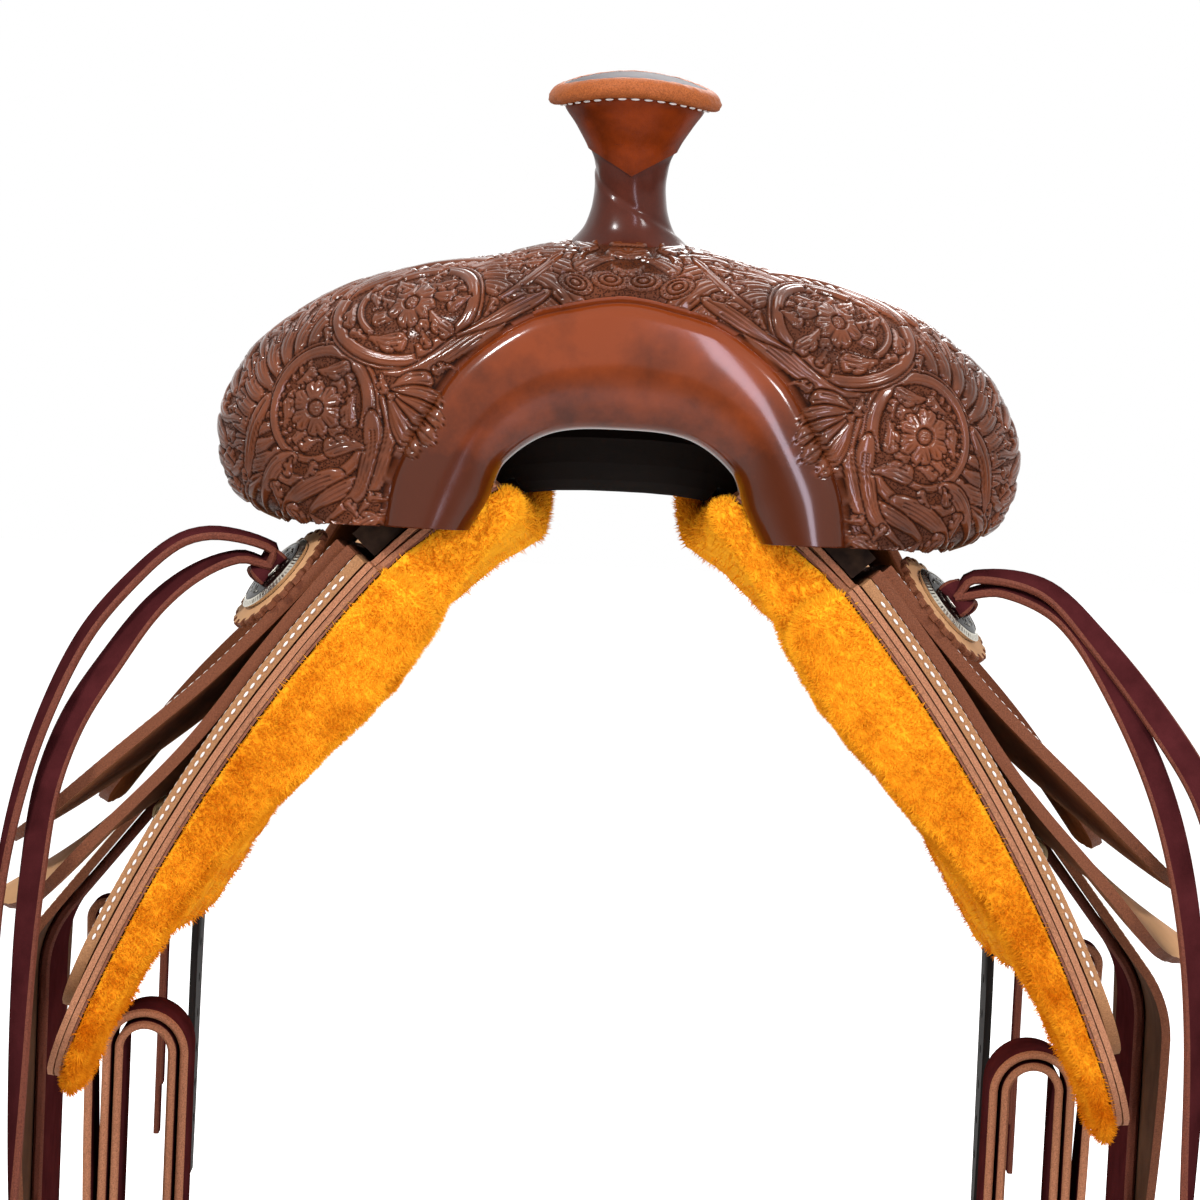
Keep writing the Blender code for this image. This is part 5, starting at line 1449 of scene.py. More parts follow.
class SADDLE_OT_fleece(bpy.types.Operator):
    """Woolly linings under the skirts, with fine fibres"""
    bl_idname = "saddle.fleece"
    bl_label = "Fleece"

    def execute(self, context):
        sizes = context.scene.saddle_sizes
        rows, columns, steps = 210, 120, 12
        y = eased(FRONT_Y + .0005, REAR_Y - .001, rows)
        u = (1 - np.cos(np.linspace(0, pi, columns))) / 2
        low = np.array([skirt_top(v) for v in y])
        high = np.array([float(skirt_bottom(v)) for v in y]) - 0.002
        s = low[:, None] + (high - low)[:, None] * u
        ys = np.repeat(y[:, None], columns, 1)
        full = np.interp(s, (0, .03, .07, .10, .13, .17, .22, .27, .332), (13, 20, 32, 34, 32, 25, 16, 11, 6)) * .001
        rear = np.interp(s, (0, .13, .19, .262), (18, 17, 10, 7)) * .001
        thick = between(rear, full, smooth((-.165 - ys) / .06))
        outer, inner = back_point(s, ys, -GAP + 0 * s), back_point(s, ys, -GAP - thick)
        count = rows * columns
        index = np.arange(count).reshape(rows, columns)
        loop, side_in = rim_loop(outer), rim_loop(inner)
        way = unit(loop - rim_loop(np.pad(outer[1:-1, 1:-1], ((1, 1), (1, 1), (0, 0)), mode="edge")))
        ring = len(loop)
        points = [outer.reshape(-1, 3), inner.reshape(-1, 3)]
        for k in range(1, steps):
            t = k / steps
            points.append(between(loop, side_in, t) + way * 0.0055 * sin(pi * t) ** 0.7)
        points = np.concatenate(points)
        bands = [rim_loop(index[..., None])[:, 0]]
        bands += [2 * count + np.arange(ring) + ring * k for k in range(steps - 1)]
        bands.append(bands[0] + count)
        faces = [grid_faces(rows, columns), grid_faces(rows, columns, count)[:, ::-1]]
        for a, b in zip(bands, bands[1:]):
            faces.append(np.stack([a, b, np.roll(b, -1), np.roll(a, -1)], -1))
        faces = np.concatenate(faces)
        front = smooth((-0.205 - points[:, 1]) / 0.035)
        share = between(0.02, 1.0, front)
        share[2 * count:] = np.maximum(share[2 * count:], 0.10)
        share[:count] = 0.0
        lump = np.array([noise.noise(Vector(p) * 38) + 0.55 * noise.noise(Vector(p) * 120)
                         + 0.22 * noise.noise(Vector(p) * 330) for p in points])
        angle = slope(s).ravel()
        away = np.concatenate([np.zeros((count, 3)), np.stack([-np.sin(angle), 0 * angle, -np.cos(angle)], -1),
                               np.tile(way, (steps - 1, 1))])
        points = points + away * (0.0022 * lump)[:, None]
        shape = wool_lock()
        for label, side in SIDES:
            pad = make(f"fleece_{label}", mirror_x(points, side), faces, finishes("fleece"), sharp=None)
            ride(pad, "saddle", f"skirt_fleece_{label}", slot="fleece")
            wool = bpy.data.objects.new(f"fleece_fibres_{label}", pad.data.copy())
            context.scene.collection.objects.link(wool)
            if len(share) != len(wool.data.vertices):
                raise RuntimeError("the fleece lost points")
            store(wool, "share", share)
            run_tree(wool, TREES["tufts"], shape=shape, density=float(sizes.tufts), size=sizes.pile, seed=7 + side,
                     finish=FINISH["fleece"])
            ride(wool, "saddle", slot="fleece")
        bpy.data.objects.remove(shape, do_unlink=True)
        return {"FINISHED"}


def slow_wave(s, y, seed):
    """Old leather isn't flat: a slow wave, none where the flap is held."""
    free = np.maximum(s - 0.115, 0) / 0.12
    return 0.0011 * free * np.sin(s * 55 + y * 40 + seed)


class SADDLE_OT_flaps(bpy.types.Operator):
    """Front, lower, seat and rear jockeys"""
    bl_idname = "saddle.flaps"
    bl_label = "Jockeys"

    def execute(self, context):
        def lower_d(s, y):
            droop = 0.7 * smooth((-.205 - y) / .045)
            return LOWER_FLAP_D + (2.4 - droop) * np.maximum(s - .135, 0) ** 2 + slow_wave(s, y, 0.3)

        def upper_d(s, y):
            return UPPER_FLAP_D + 1.5 * np.maximum(s - .075, 0) ** 2 + slow_wave(s, y, 1.9)

        def seat_d(s, y):
            return SEAT_EDGE_D - JOCKEY_T + 0.150 * np.maximum(s - SEAT_EDGE_S, 0) + slow_wave(s, y, 4.1)

        flaps = (
            ("lower_jockey", -.264, LOWER_JOCKEY_REAR, lambda y: 0.0635, (.275, .050, .080), lower_d, FLAP_T, 0),
            ("front_jockey", -.256, -.120, lambda y: 0.0650, (.248, .035, .096), upper_d, FLAP_T, 2),
            ("seat_jockey", -.110, .150, lambda y: SEAT_EDGE_S + .0015, (.238, .060, .110), seat_d, JOCKEY_T, 2),
            ("rear_jockey", .165, .380, lambda y: between(.120, -.0525, float(smooth((y - .165) / .090))),
             (.195, .060, .110), flat(REAR_JOCKEY_D), JOCKEY_T, 1))
        for label, side in SIDES:
            for name, y0, y1, top, (low, front, rear), depth, thick, rows in flaps:
                def bottom(y, y0=y0, y1=y1, low=low, front=front, rear=rear):
                    return low - corner(y - y0, front) - corner(y1 - y, rear)

                flap = laid(f"{name}_leather_{label}", side, y0, y1, top, bottom, depth, thick + .0004,
                            finishes("natural", "edge", "rough"), 120, 44, 0.0006, edge=0.0020)
                ride(flap, "saddle", f"{name}_{label}", slot="natural_leather")
                start = max(top(y0), .066) + .004
                for k in range(rows):
                    outline = flap_outline(y0, y1, start, bottom, 0.0042 + 0.0045 * k)
                    sewn(f"{name}_stitches_{k}_{label}", side, outline,
                         lambda s, y, depth=depth, thick=thick: depth(s, y) + thick + .0004)
        return {"FINISHED"}


# ---- seat ---------------------------------------------------------------------------------------

def seat_point(u, v):
    share = abs(u)
    edge = back_point(SEAT_EDGE_S, between(SEAT_FRONT_Y + .022, CANTLE_SIDE_Y, v), SEAT_EDGE_D)
    middle_y = between(SEAT_FRONT_Y, CANTLE_TOP_Y, v)
    if v < 0.45:
        middle_z = SEAT_LOW + SEAT_FRONT_RISE * ((0.45 - v) / 0.45) ** 2
    else:
        middle_z = SEAT_LOW + CANTLE_RISE * ((v - 0.45) / 0.55) ** 3
    drop = share ** between(3.0, 2.2, float(smooth((v - 0.5) / 0.5)))
    return np.array([edge[0] * share * (1 if u >= 0 else -1), between(middle_y, edge[1], share ** 2),
                     between(ARCH_TOP + middle_z, edge[2], drop)])


def seat_grid(us, vs):
    return np.array([[seat_point(u, v) for u in us] for v in vs])


def grid_normals(points):
    return unit(np.cross(np.gradient(points, axis=1), np.gradient(points, axis=0)))


def cantle_binding():
    points, ups = [], []
    for u in np.linspace(-0.93, 0.93, 121):
        rim = seat_point(u, 1.0)
        step = unit(seat_point(u + .01, 1.0) - seat_point(u - .01, 1.0))
        along = rim - seat_point(u, 0.98)
        along = unit(along - step * along.dot(step))
        normal = unit(np.cross(step, along))
        normal = normal if normal[2] > 0 else -normal
        points.append(rim + along * (ROLL_RADIUS + .001) - normal * (ROLL_RADIUS - .001))
        ups.append(along)
    points, ups = np.array(points), np.array(ups)
    swell = ROLL_RADIUS * (1 - 0.25 * np.abs(np.linspace(-1, 1, 121)) ** 8)
    roll = rod("cantle_binding", points, ups, swell, finishes("natural"), 28)
    ride(roll, "saddle", "cantle_roll", slot="natural_leather")
    tangent = unit(np.gradient(points, axis=0))
    for name, turn in (("front", 1.15), ("rear", -1.15)):
        side = np.cross(tangent, ups)
        facing = ups * cos(turn) + side * sin(turn)
        stitches(f"cantle_stitches_{name}", points + facing * swell[:, None], facing, .0036, .0048,
                 "natural_leather")


def cantle_back():
    drop = SEAT_T + SEAT_GAP + CANTLE_BOARD_T + GAP
    rows = []
    for v in np.linspace(0, 1, 36):
        row = []
        for u in np.linspace(-0.86, 0.86, 101):
            a, b = seat_point(min(u + .01, 1), .975), seat_point(max(u - .01, -1), .975)
            c, d = seat_point(u, .985), seat_point(u, .965)
            rim = seat_point(u, .975) - unit(np.cross(a - b, c - d)) * drop + (0, .0015, 0)
            reach = max(abs(rim[0]), .004)
            low, high = -0.10, 0.40
            for _ in range(24):
                middle = (low + high) / 2
                low, high = (middle, high) if back_point(middle, rim[1], .0325)[0] < reach else (low, middle)
            floor = back_point(low, rim[1], .0325)[2]
            row.append(between(rim, np.array([rim[0] * .99, rim[1] - .012, min(floor, rim[2] - .004)]), v))
        rows.append(row)
    inner = np.array(rows)
    way = grid_normals(inner)
    way = way if way[10, 50, 1] > 0 else -way
    back = shell("cantle_back_leather", inner + way * .003, inner,
                 finishes("natural", "edge", "rough"), 0.0008)
    ride(back, "saddle", "cantle_back", slot="natural_leather")


class SADDLE_OT_seat(bpy.types.Operator):
    """Seat leather, cantle binding and cantle back"""
    bl_idname = "saddle.seat"
    bl_label = "Seat"

    def execute(self, context):
        us, vs = np.linspace(-1, 1, 151), np.linspace(0, 1, 121)
        top = seat_grid(us, vs)
        way = grid_normals(top)
        seat = shell("seat_cover", top + way * .0002, top - way * SEAT_T,
                     finishes("seat", "edge", "rough"), 0.0012)
        ride(seat, "saddle", "seat_leather", slot="smooth_leather")
        for label, column in (("near", -4), ("off", 3)):
            line = top[4:-6, column] + way[4:-6, column] * .0002
            stitches(f"seat_stitches_{label}", line, way[4:-6, column], STITCH, .0042, "smooth_leather")
        cantle_binding()
        cantle_back()
        return {"FINISHED"}


# ---- fenders and stirrups -----------------------------------------------------------------------

HINGE = back_point(TURN_AT, FENDER_Y, 0.0125 + 0.0095 * sin(pi * TURN_AT / 0.12) + STRAP_LIFT)
KNEE = (HANG_X - HINGE[0]) / cos(SWING_LINE_SLOPE)
LOW = KNEE + HINGE[2] - KNEE * sin(SWING_LINE_SLOPE) - BOLT_Z


def swing_line(distance):
    if distance < KNEE:
        return (HINGE[0] + distance * cos(SWING_LINE_SLOPE), HINGE[2] - distance * sin(SWING_LINE_SLOPE))
    return (HANG_X, HINGE[2] - KNEE * sin(SWING_LINE_SLOPE) - (distance - KNEE))


def rounded(path, times=3):
    """A flat path with its corners eased by cutting them."""
    path = np.asarray(path, float)
    for _ in range(times):
        a, b = path[:-1], path[1:]
        inner = np.stack([between(a, b, .25), between(a, b, .75)], 1).reshape(-1, path.shape[1])
        path = np.vstack([path[:1], inner[1:-1], path[-1:]])
    return path


def offset_path(path, distance):
    return path + leftward(np.asarray(path, float)) * distance


def flat_strap(name, side, path, y, half, thick, body, *nodes, slot="burgundy_leather",
               finish=("burgundy", "burgundy_edge")):
    """A strap whose path lies in one upright plane, its inner face on the path."""
    middle = offset_path(path, thick / 2)
    points = np.stack([middle[:, 0] * side, np.broadcast_to(y, len(middle)), middle[:, 1]], -1)
    made = strap(name, points, (0, 1, 0), half, thick, finishes(*finish))
    return ride(made, body, *nodes, slot=slot)


def stirrup_strap(label, side):
    down = [0, .04, .09, .12, KNEE - .035, KNEE, KNEE + .035, KNEE + .07, KNEE + .13, LOW - .06, LOW - .02]
    path = [swing_line(d) for d in down]
    path += [(BOLT_X + BOLT_LOOP * cos(pi * k / 12), BOLT_Z - BOLT_LOOP * sin(pi * k / 12)) for k in range(1, 12)]
    path += [(BOLT_X - BOLT_LOOP, BOLT_Z + .020), (BOLT_X - BOLT_LOOP, BOLT_Z + .060)]
    path = rounded(path, 3)
    half = np.full(len(path), LEATHER_HALF)
    half[0] = LEATHER_HALF - .003
    flat_strap(f"stirrup_strap_{label}", side, path, FENDER_Y, half, STRAP_T, f"{label}_fender",
               f"stirrup_leather_{label}")


def fender(label, side):
    rows = [.060, .085, .12, *(KNEE + step for step in (-.035, 0, .035, .07, .10, .13, .17)), LOW - .060]
    half = [.040, .058, .078, .095, .096, .092, .082, .070, .056, .043, .037]
    path = offset_path([swing_line(d) for d in rows], STRAP_T + GAP)
    both = rounded(np.column_stack([path, half]), 3)
    line, wide = both[:, :2], both[:, 2]
    out = offset_path(line, FENDER_T) - line
    v = np.sin(np.linspace(-pi / 2, pi / 2, 46))
    y = FENDER_Y + wide[:, None] * v
    def at(share):
        flat_part = line + out * share
        return np.stack([np.repeat(flat_part[:, :1], 46, 1) * side, y, np.repeat(flat_part[:, 1:], 46, 1)], -1)
    outer, inner = at(1.0), at(0.0)
    made = shell(f"fender_leather_{label}", outer, inner, finishes("natural", "edge", "grey"), .0010)
    ride(made, f"{label}_fender", f"fender_{label}", slot="natural_leather")
    way = np.stack([out[:, 0] * side, 0 * wide, out[:, 1]], -1)
    for k, inset in enumerate((.0055, .0095)):
        edge = np.concatenate([np.stack([line[:, 0] + out[:, 0], FENDER_Y + sign * (wide - inset),
                                         line[:, 1] + out[:, 1]], -1)[::order]
                               for sign, order in ((-1, 1), (1, -1))])
        edge[:, 0] *= side
        half_count = len(wide)
        for part, cut, ways in (("front", slice(2, half_count - 1), way[2:-1]),
                                ("rear", slice(half_count + 1, -2), way[::-1][1:-2])):
            stitches(f"fender_stitches_{part}_{k}_{label}", edge[cut], unit(ways), STITCH, .0043,
                     "natural_leather", f"{label}_fender")


def hobble(label, side):
    inner, outer = BOLT_X - BOLT_LOOP - STRAP_T - GAP, HANG_X + STRAP_T + GAP
    half, wall, r = LEATHER_HALF + GAP, .003, .004
    ring = []
    for cx, cy, start in ((outer, half, 0), (inner, half, 90), (inner, -half, 180), (outer, -half, 270)):
        sx, sy = (1 if cx == outer else -1), (1 if cy > 0 else -1)
        for k in range(6):
            a = radians(start + 18 * k)
            ring.append((side * (cx + sx * (wall / 2 - r) + r * cos(a)), FENDER_Y + cy + sy * (wall / 2 - r)
                         + r * sin(a), BOLT_Z + .040))
    made = sweep(f"hobble_{label}", ring, (0, 0, 1), strap_section(.010, wall)[0],
                 finishes("burgundy", "burgundy_edge"), STRAP_EDGES, cyclic=True)
    ride(made, f"{label}_fender", f"hobble_strap_{label}", slot="burgundy_leather")


def stirrup(label, side):
    half, ear = STIRRUP_WIDTH / 2, .044
    line = [(-ear, .012), (-ear - .001, -.006), (-ear - .006, -.030), (-half + .003, -.060), (-half, -.090),
            (-half + .010, -.115), (-half + .028, -STIRRUP_HEIGHT + .003), (-.012, -STIRRUP_HEIGHT)]
    depths = [.013, .014, .017, .020, .023, .026, .028, .029]
    spots = np.array([(y, z, d) for (y, z), d in zip(line, depths)])
    spots = rounded(np.vstack([spots, spots[::-1] * (-1, 1, 1)]), 3)
    way = unit(np.gradient(spots[:, :2], axis=0))
    out = np.stack([way[:, 1], -way[:, 0]], -1)
    out = out if out[0, 0] < 0 else -out
    across = np.linspace(-1, 1, 21)
    def at(gap):
        base = spots[:, :2] + out * gap
        crown = 0.0008 * (1 - across ** 2) * (1 if gap > .004 else -1)
        return np.stack([side * (BOLT_X + spots[:, 2:] * across), FENDER_Y + base[:, :1] + out[:, :1] * crown,
                         BOLT_Z + base[:, 1:] + out[:, 1:] * crown], -1)
    made = shell(f"stirrup_leather_cover_{label}", at(.009), at(0.0),
                 finishes("skirt", "edge_dark", "natural"), .0016)
    ride(made, f"{label}_stirrup", f"stirrup_{label}", slot="edged_leather")
    for k, share in enumerate((-.82, .82)):
        base = spots[:, :2] + out * .0092
        row = np.stack([side * (BOLT_X + spots[:, 2] * share), FENDER_Y + base[:, 0], BOLT_Z + base[:, 1]], -1)
        facing = np.stack([0 * row[:, 0], out[:, 0], out[:, 1]], -1)
        stitches(f"stirrup_stitches_{k}_{label}", row[3:-3], facing[3:-3], .0034, .0046, "edged_leather",
                 f"{label}_stirrup")


class SADDLE_OT_fenders(bpy.types.Operator):
    """Fenders, stirrup leathers, hobble straps and stirrups"""
    bl_idname = "saddle.fenders"
    bl_label = "Fenders and stirrups"

    def execute(self, context):
        for label, side in SIDES:
            stirrup_strap(label, side)
            fender(label, side)
            hobble(label, side)
            stirrup(label, side)
            dress(f"stirrup_bolt_{label}", "chrome")
        return {"FINISHED"}


# ---- rigging ------------------------------------------------------------------------------------

def ring_frame(s, y, d):
    centre = back_point(s, y, d)
    angle = float(slope(s))
    return centre, np.array([cos(angle), 0, -sin(angle)]), np.array([sin(angle), 0, cos(angle)])


def ring_low(s, y, d):
    centre, down, _ = ring_frame(s, y, d)
    return centre + down * RING_RADIUS


def hook_path(x, z, radius):
    angles = HOOK_TURN * (1 - np.linspace(0, 1, 16))
    return [(x + radius * cos(a), z + radius * sin(a)) for a in angles]


def ring_lacing(label, side, bar, down, out):
    """Rawhide wound round the ring's upper bar, over the lace that holds it."""
    turn = np.linspace(0, 2 * pi * 9, 9 * 26)
    rise = np.linspace(-1, 1, len(turn)) * .0108
    radius = RING_WIRE + .0013
    line = bar + radius * (np.outer(np.cos(turn), down) + np.outer(np.sin(turn), out)) + np.outer(rise, (0, 1, 0))
    cord = rod(f"ring_lacing_{label}", mirror_x(line, side), (0, 1, 0), .00125, finishes("rawhide"), 8)
    ride(cord, "saddle", f"ring_wrap_{label}", slot="rawhide")


def ring_keeper(label, side, bar, down, out):
    turn = np.linspace(0, 2 * pi, 48, endpoint=False)
    radius = RING_WIRE + FINE_GAP + .0011
    rise = np.maximum(radius * np.sin(turn), -RING_LIFT - RING_WIRE + FINE_GAP + .0011)
    line = bar + np.outer(radius * np.cos(turn), down) + np.outer(rise, out)
    made = sweep(f"ring_keeper_{label}", mirror_x(line, side), (0, 1, 0), strap_section(.0105, .0022)[0],
                 finishes("natural", "edge"), STRAP_EDGES, cyclic=True)
    ride(made, "saddle", f"rear_keeper_{label}", slot="natural_leather")


class SADDLE_OT_rings(bpy.types.Operator):
    """Rigging rings with rawhide on the front ones and keepers on the rear ones"""
    bl_idname = "saddle.rings"
    bl_label = "Rigging rings"

    def execute(self, context):
        for label, side in SIDES:
            for end, s, y, d in (("front", FRONT_RING_S, FRONT_RING_Y, FRONT_RING_D),
                                 ("rear", REAR_RING_S, REAR_RING_Y, REAR_RING_D)):
                centre, down, out = ring_frame(s, y, d)
                turn = np.linspace(0, 2 * pi, 96, endpoint=False)
                depth = np.maximum(np.cos(turn), -RING_FLAT)
                along = np.array([0, 1, 0])
                line = centre + np.outer(RING_RADIUS * depth, down) + np.outer(RING_RADIUS * np.sin(turn), along)
                made = rod(f"{end}_ring_steel_{label}", mirror_x(line, side), mirror_x(out, side), RING_WIRE,
                           finishes("chrome"), 16, True)
                ride(made, f"{label}_{end}_ring", f"{end}_ring_{label}", slot="chrome")
                bar = centre - down * (RING_RADIUS * RING_FLAT)
                if end == "front":
                    ring_lacing(label, side, bar, down, out)
                else:
                    ring_keeper(label, side, bar, down, out)
        return {"FINISHED"}


def latigo(label, side):
    low = ring_low(FRONT_RING_S, FRONT_RING_Y, FRONT_RING_D)
    path = hook_path(low[0], low[2], RING_WIRE + HOOK_GAP)
    narrow = len(path)
    middle, top = LATIGO_REACH_X - LATIGO_HALF_WIDTH, ARCH_TOP + LATIGO_TOP_Z - LATIGO_HALF_WIDTH
    for part in range(5):
        centre = top - LATIGO_STRAIGHT if part % 2 == 0 else top
        for k in range(25):
            angle = (0 if part % 2 == 0 else pi) - pi * k / 24
            radius = LATIGO_HALF_WIDTH - LATIGO_PITCH / 2 * (part + k / 24)
            path.append((middle + radius * cos(angle), centre + radius * sin(angle)))
    half = np.full(len(path), LATIGO_HALF)
    half[:narrow] = HOOK_HALF
    lead = np.linspace(path[narrow - 1], path[narrow], 12)[1:-1]
    path = np.vstack([path[:narrow], lead, path[narrow:]])
    half = np.concatenate([half[:narrow], between(HOOK_HALF, LATIGO_HALF, smooth(np.linspace(0, 1.4, 10))),
                           half[narrow:]])
    flat_strap(f"latigo_coil_{label}", side, path, FRONT_RING_Y, half, LATIGO_T, f"{label}_front_ring",
               f"latigo_{label}", finish=("burgundy", "latigo_edge"))


def billet(label, side):
    low = ring_low(REAR_RING_S, REAR_RING_Y, REAR_RING_D)
    edge = back_point(SKIRT_SHALLOW + .006, REAR_RING_Y, REAR_RING_D - RING_WIRE)
    path = hook_path(low[0], low[2], RING_WIRE + HOOK_GAP)
    narrow = len(path)
    path += [(edge[0] + .002, edge[2]), (edge[0] + .006, edge[2] - .020), (edge[0] + .007, edge[2] - .080),
             (edge[0] + .007, edge[2] - BILLET_DROP)]
    half = [HOOK_HALF] * narrow + [LATIGO_HALF] * 3 + [.010]
    both = rounded(np.column_stack([path, half]), 2)
    far = both[-1, 1]
    evenly, rows = np.linspace(0, 1, 150), np.linspace(0, 1, len(both))
    across, height, wide = (np.interp(evenly, rows, both[:, k]) for k in range(3))
    line = np.stack([across, height], -1)
    drop = line[:, 1] - far
    wide = np.where(drop < .022, .009 + (LATIGO_HALF - .009) * np.sqrt(np.clip(drop / .022, 0, 1)), wide)
    middle = offset_path(line, LATIGO_T / 2)
    points = np.stack([middle[:, 0] * side, np.full(150, REAR_RING_Y), middle[:, 1]], -1)
    made = strap(f"billet_{label}", points, (0, 1, 0), wide, LATIGO_T, finishes("black", "black"))
    drills = bmesh.new()
    for k in range(7):
        z = far + .030 + .0195 * k
        x = side * float(np.interp(-z, -middle[:, 1], middle[:, 0]))
        bmesh.ops.create_cone(drills, cap_ends=True, segments=14, radius1=.0026, radius2=.0026, depth=.03,
                              matrix=Matrix.Translation((x, REAR_RING_Y, z)) @ Matrix.Rotation(pi / 2, 4, "Y"))
    tool_mesh = bpy.data.meshes.new("billet_drills")
    drills.to_mesh(tool_mesh)
    drills.free()
    tool_mesh.materials.append(FINISH["black"])
    tool = bpy.data.objects.new("billet_drills", tool_mesh)
    bpy.context.scene.collection.objects.link(tool)
    cut = made.modifiers.new("holes", "BOOLEAN")
    cut.object, cut.operation, cut.solver = tool, "DIFFERENCE", "EXACT"
    settle(made)
    bpy.data.objects.remove(tool, do_unlink=True)
    ride(made, f"{label}_flank_billet", f"flank_billet_{label}", slot="black_leather")


def buckle():
    edge = back_point(SKIRT_SHALLOW + .006, REAR_RING_Y, REAR_RING_D - RING_WIRE)
    x = edge[0] + .007 + LATIGO_T + GAP + BUCKLE_WIRE
    z = edge[2] - BILLET_DROP + .004
    ring = []
    for turn, (sy, sz) in enumerate(((1, 1), (-1, 1), (-1, -1), (1, -1))):
        for k in range(8):
            a = pi / 2 * (turn + k / 7)
            ring.append((-x, REAR_RING_Y + sy * .0155 + .008 * cos(a), z + sz * .011 + .008 * sin(a)))
    frame_rod = rod("buckle_frame", ring, (1, 0, 0), BUCKLE_WIRE, finishes("chrome"), 14, True)
    ride(frame_rod, "off_flank_billet", "flank_buckle", slot="chrome")
    tongue = curve_through(((-x - .0046, REAR_RING_Y, z - .0195), (-x - .0042, REAR_RING_Y, z - .010),
                            (-x - .0040, REAR_RING_Y, z + .010), (-x - .0040, REAR_RING_Y, z + .0205)), 24)
    ride(rod("buckle_tongue", tongue, (0, 1, 0), np.linspace(.0016, .0012, 24), finishes("chrome"), 10),
         "off_flank_billet", slot="chrome")
    bottom = z - .019
    under = x - LATIGO_T / 2
    path = hook_path(x, bottom, BUCKLE_WIRE + GAP)
    narrow = len(path)
    path += [(under + .0010, bottom - .03), (under, bottom - .09), (under, bottom - .15)]
    both = rounded(np.column_stack([path, [.014] * narrow + [.024, .030, .030]]), 2)
    flat_strap("flank_cinch_strap", -1, both[:, :2], REAR_RING_Y, both[:, 2], LATIGO_T, "flank_cinch",
               "flank_cinch", finish=("burgundy", "latigo_edge"))


class SADDLE_OT_straps(bpy.types.Operator):
    """Coiled latigos, flank billets, buckle and cinch"""
    bl_idname = "saddle.straps"
    bl_label = "Latigos and billets"

    def execute(self, context):
        for label, side in SIDES:
            latigo(label, side)
            billet(label, side)
        buckle()
        return {"FINISHED"}


# ---- conchos and strings ------------------------------------------------------------------------

def concho_place(side):
    centre = back_point(CONCHO_S, CONCHO_Y, UPPER_FLAP_D + FLAP_T + CONCHO_LIFT + .0024)
    angle = float(slope(CONCHO_S)) - radians(4)
    out = Vector((side * sin(angle), 0, cos(angle)))
    out = (out * cos(radians(12)) + Vector((0, -1, 0)) * sin(radians(12))).normalized()
    return (Matrix.Translation((side * centre[0], centre[1], centre[2]))
            @ out.to_track_quat("Z", "Y").to_matrix().to_4x4())


NEAR_TAILS = (((.005, .009, .002), (.035, .006, .008), (.058, -.014, .016), (.089, -.051, .028), (.108, -.081, .036),
               (.121, -.123, .040), (.125, -.166, .040), (.124, -.230, .040), (.124, -.290, .040),
               (.124, -.358, .040)),
              ((.018, .004, .004), (.044, -.006, .010), (.066, -.034, .022), (.088, -.078, .034), (.101, -.125, .040),
               (.108, -.180, .040), (.109, -.250, .040), (.108, -.338, .040)))
OFF_TAILS = (((-.004, .007, .002), (.020, .013, .005), (.037, .009, .008), (.056, -.008, .014), (.075, -.033, .022),
              (.090, -.068, .032), (.100, -.105, .038), (.106, -.145, .040), (.108, -.200, .040), (.108, -.270, .040),
              (.108, -.358, .040)),
             ((.011, .003, .004), (.030, -.005, .007), (.047, -.020, .012), (.063, -.043, .020), (.078, -.069, .028),
              (.087, -.097, .036), (.091, -.130, .040), (.094, -.175, .040), (.095, -.250, .040),
              (.095, -.338, .040)))


def darken(made, place, radii, dark):
    count = len(made.data.vertices)
    spots = np.empty(count * 3)
    made.data.vertices.foreach_get("co", spots)
    local = moved(spots.reshape(-1, 3), place.inverted())
    reach = np.hypot(local[:, 0], local[:, 1])
    row = np.clip(np.round(np.interp(-reach, -radii, np.arange(len(radii)))).astype(int), 0, len(radii) - 1)
    column = np.round(np.arctan2(local[:, 1], local[:, 0]) / (2 * pi) * dark.shape[1]).astype(int) % dark.shape[1]
    store(made, "sink", np.where(local[:, 2] > -.0002, dark[row, column], 0.2))


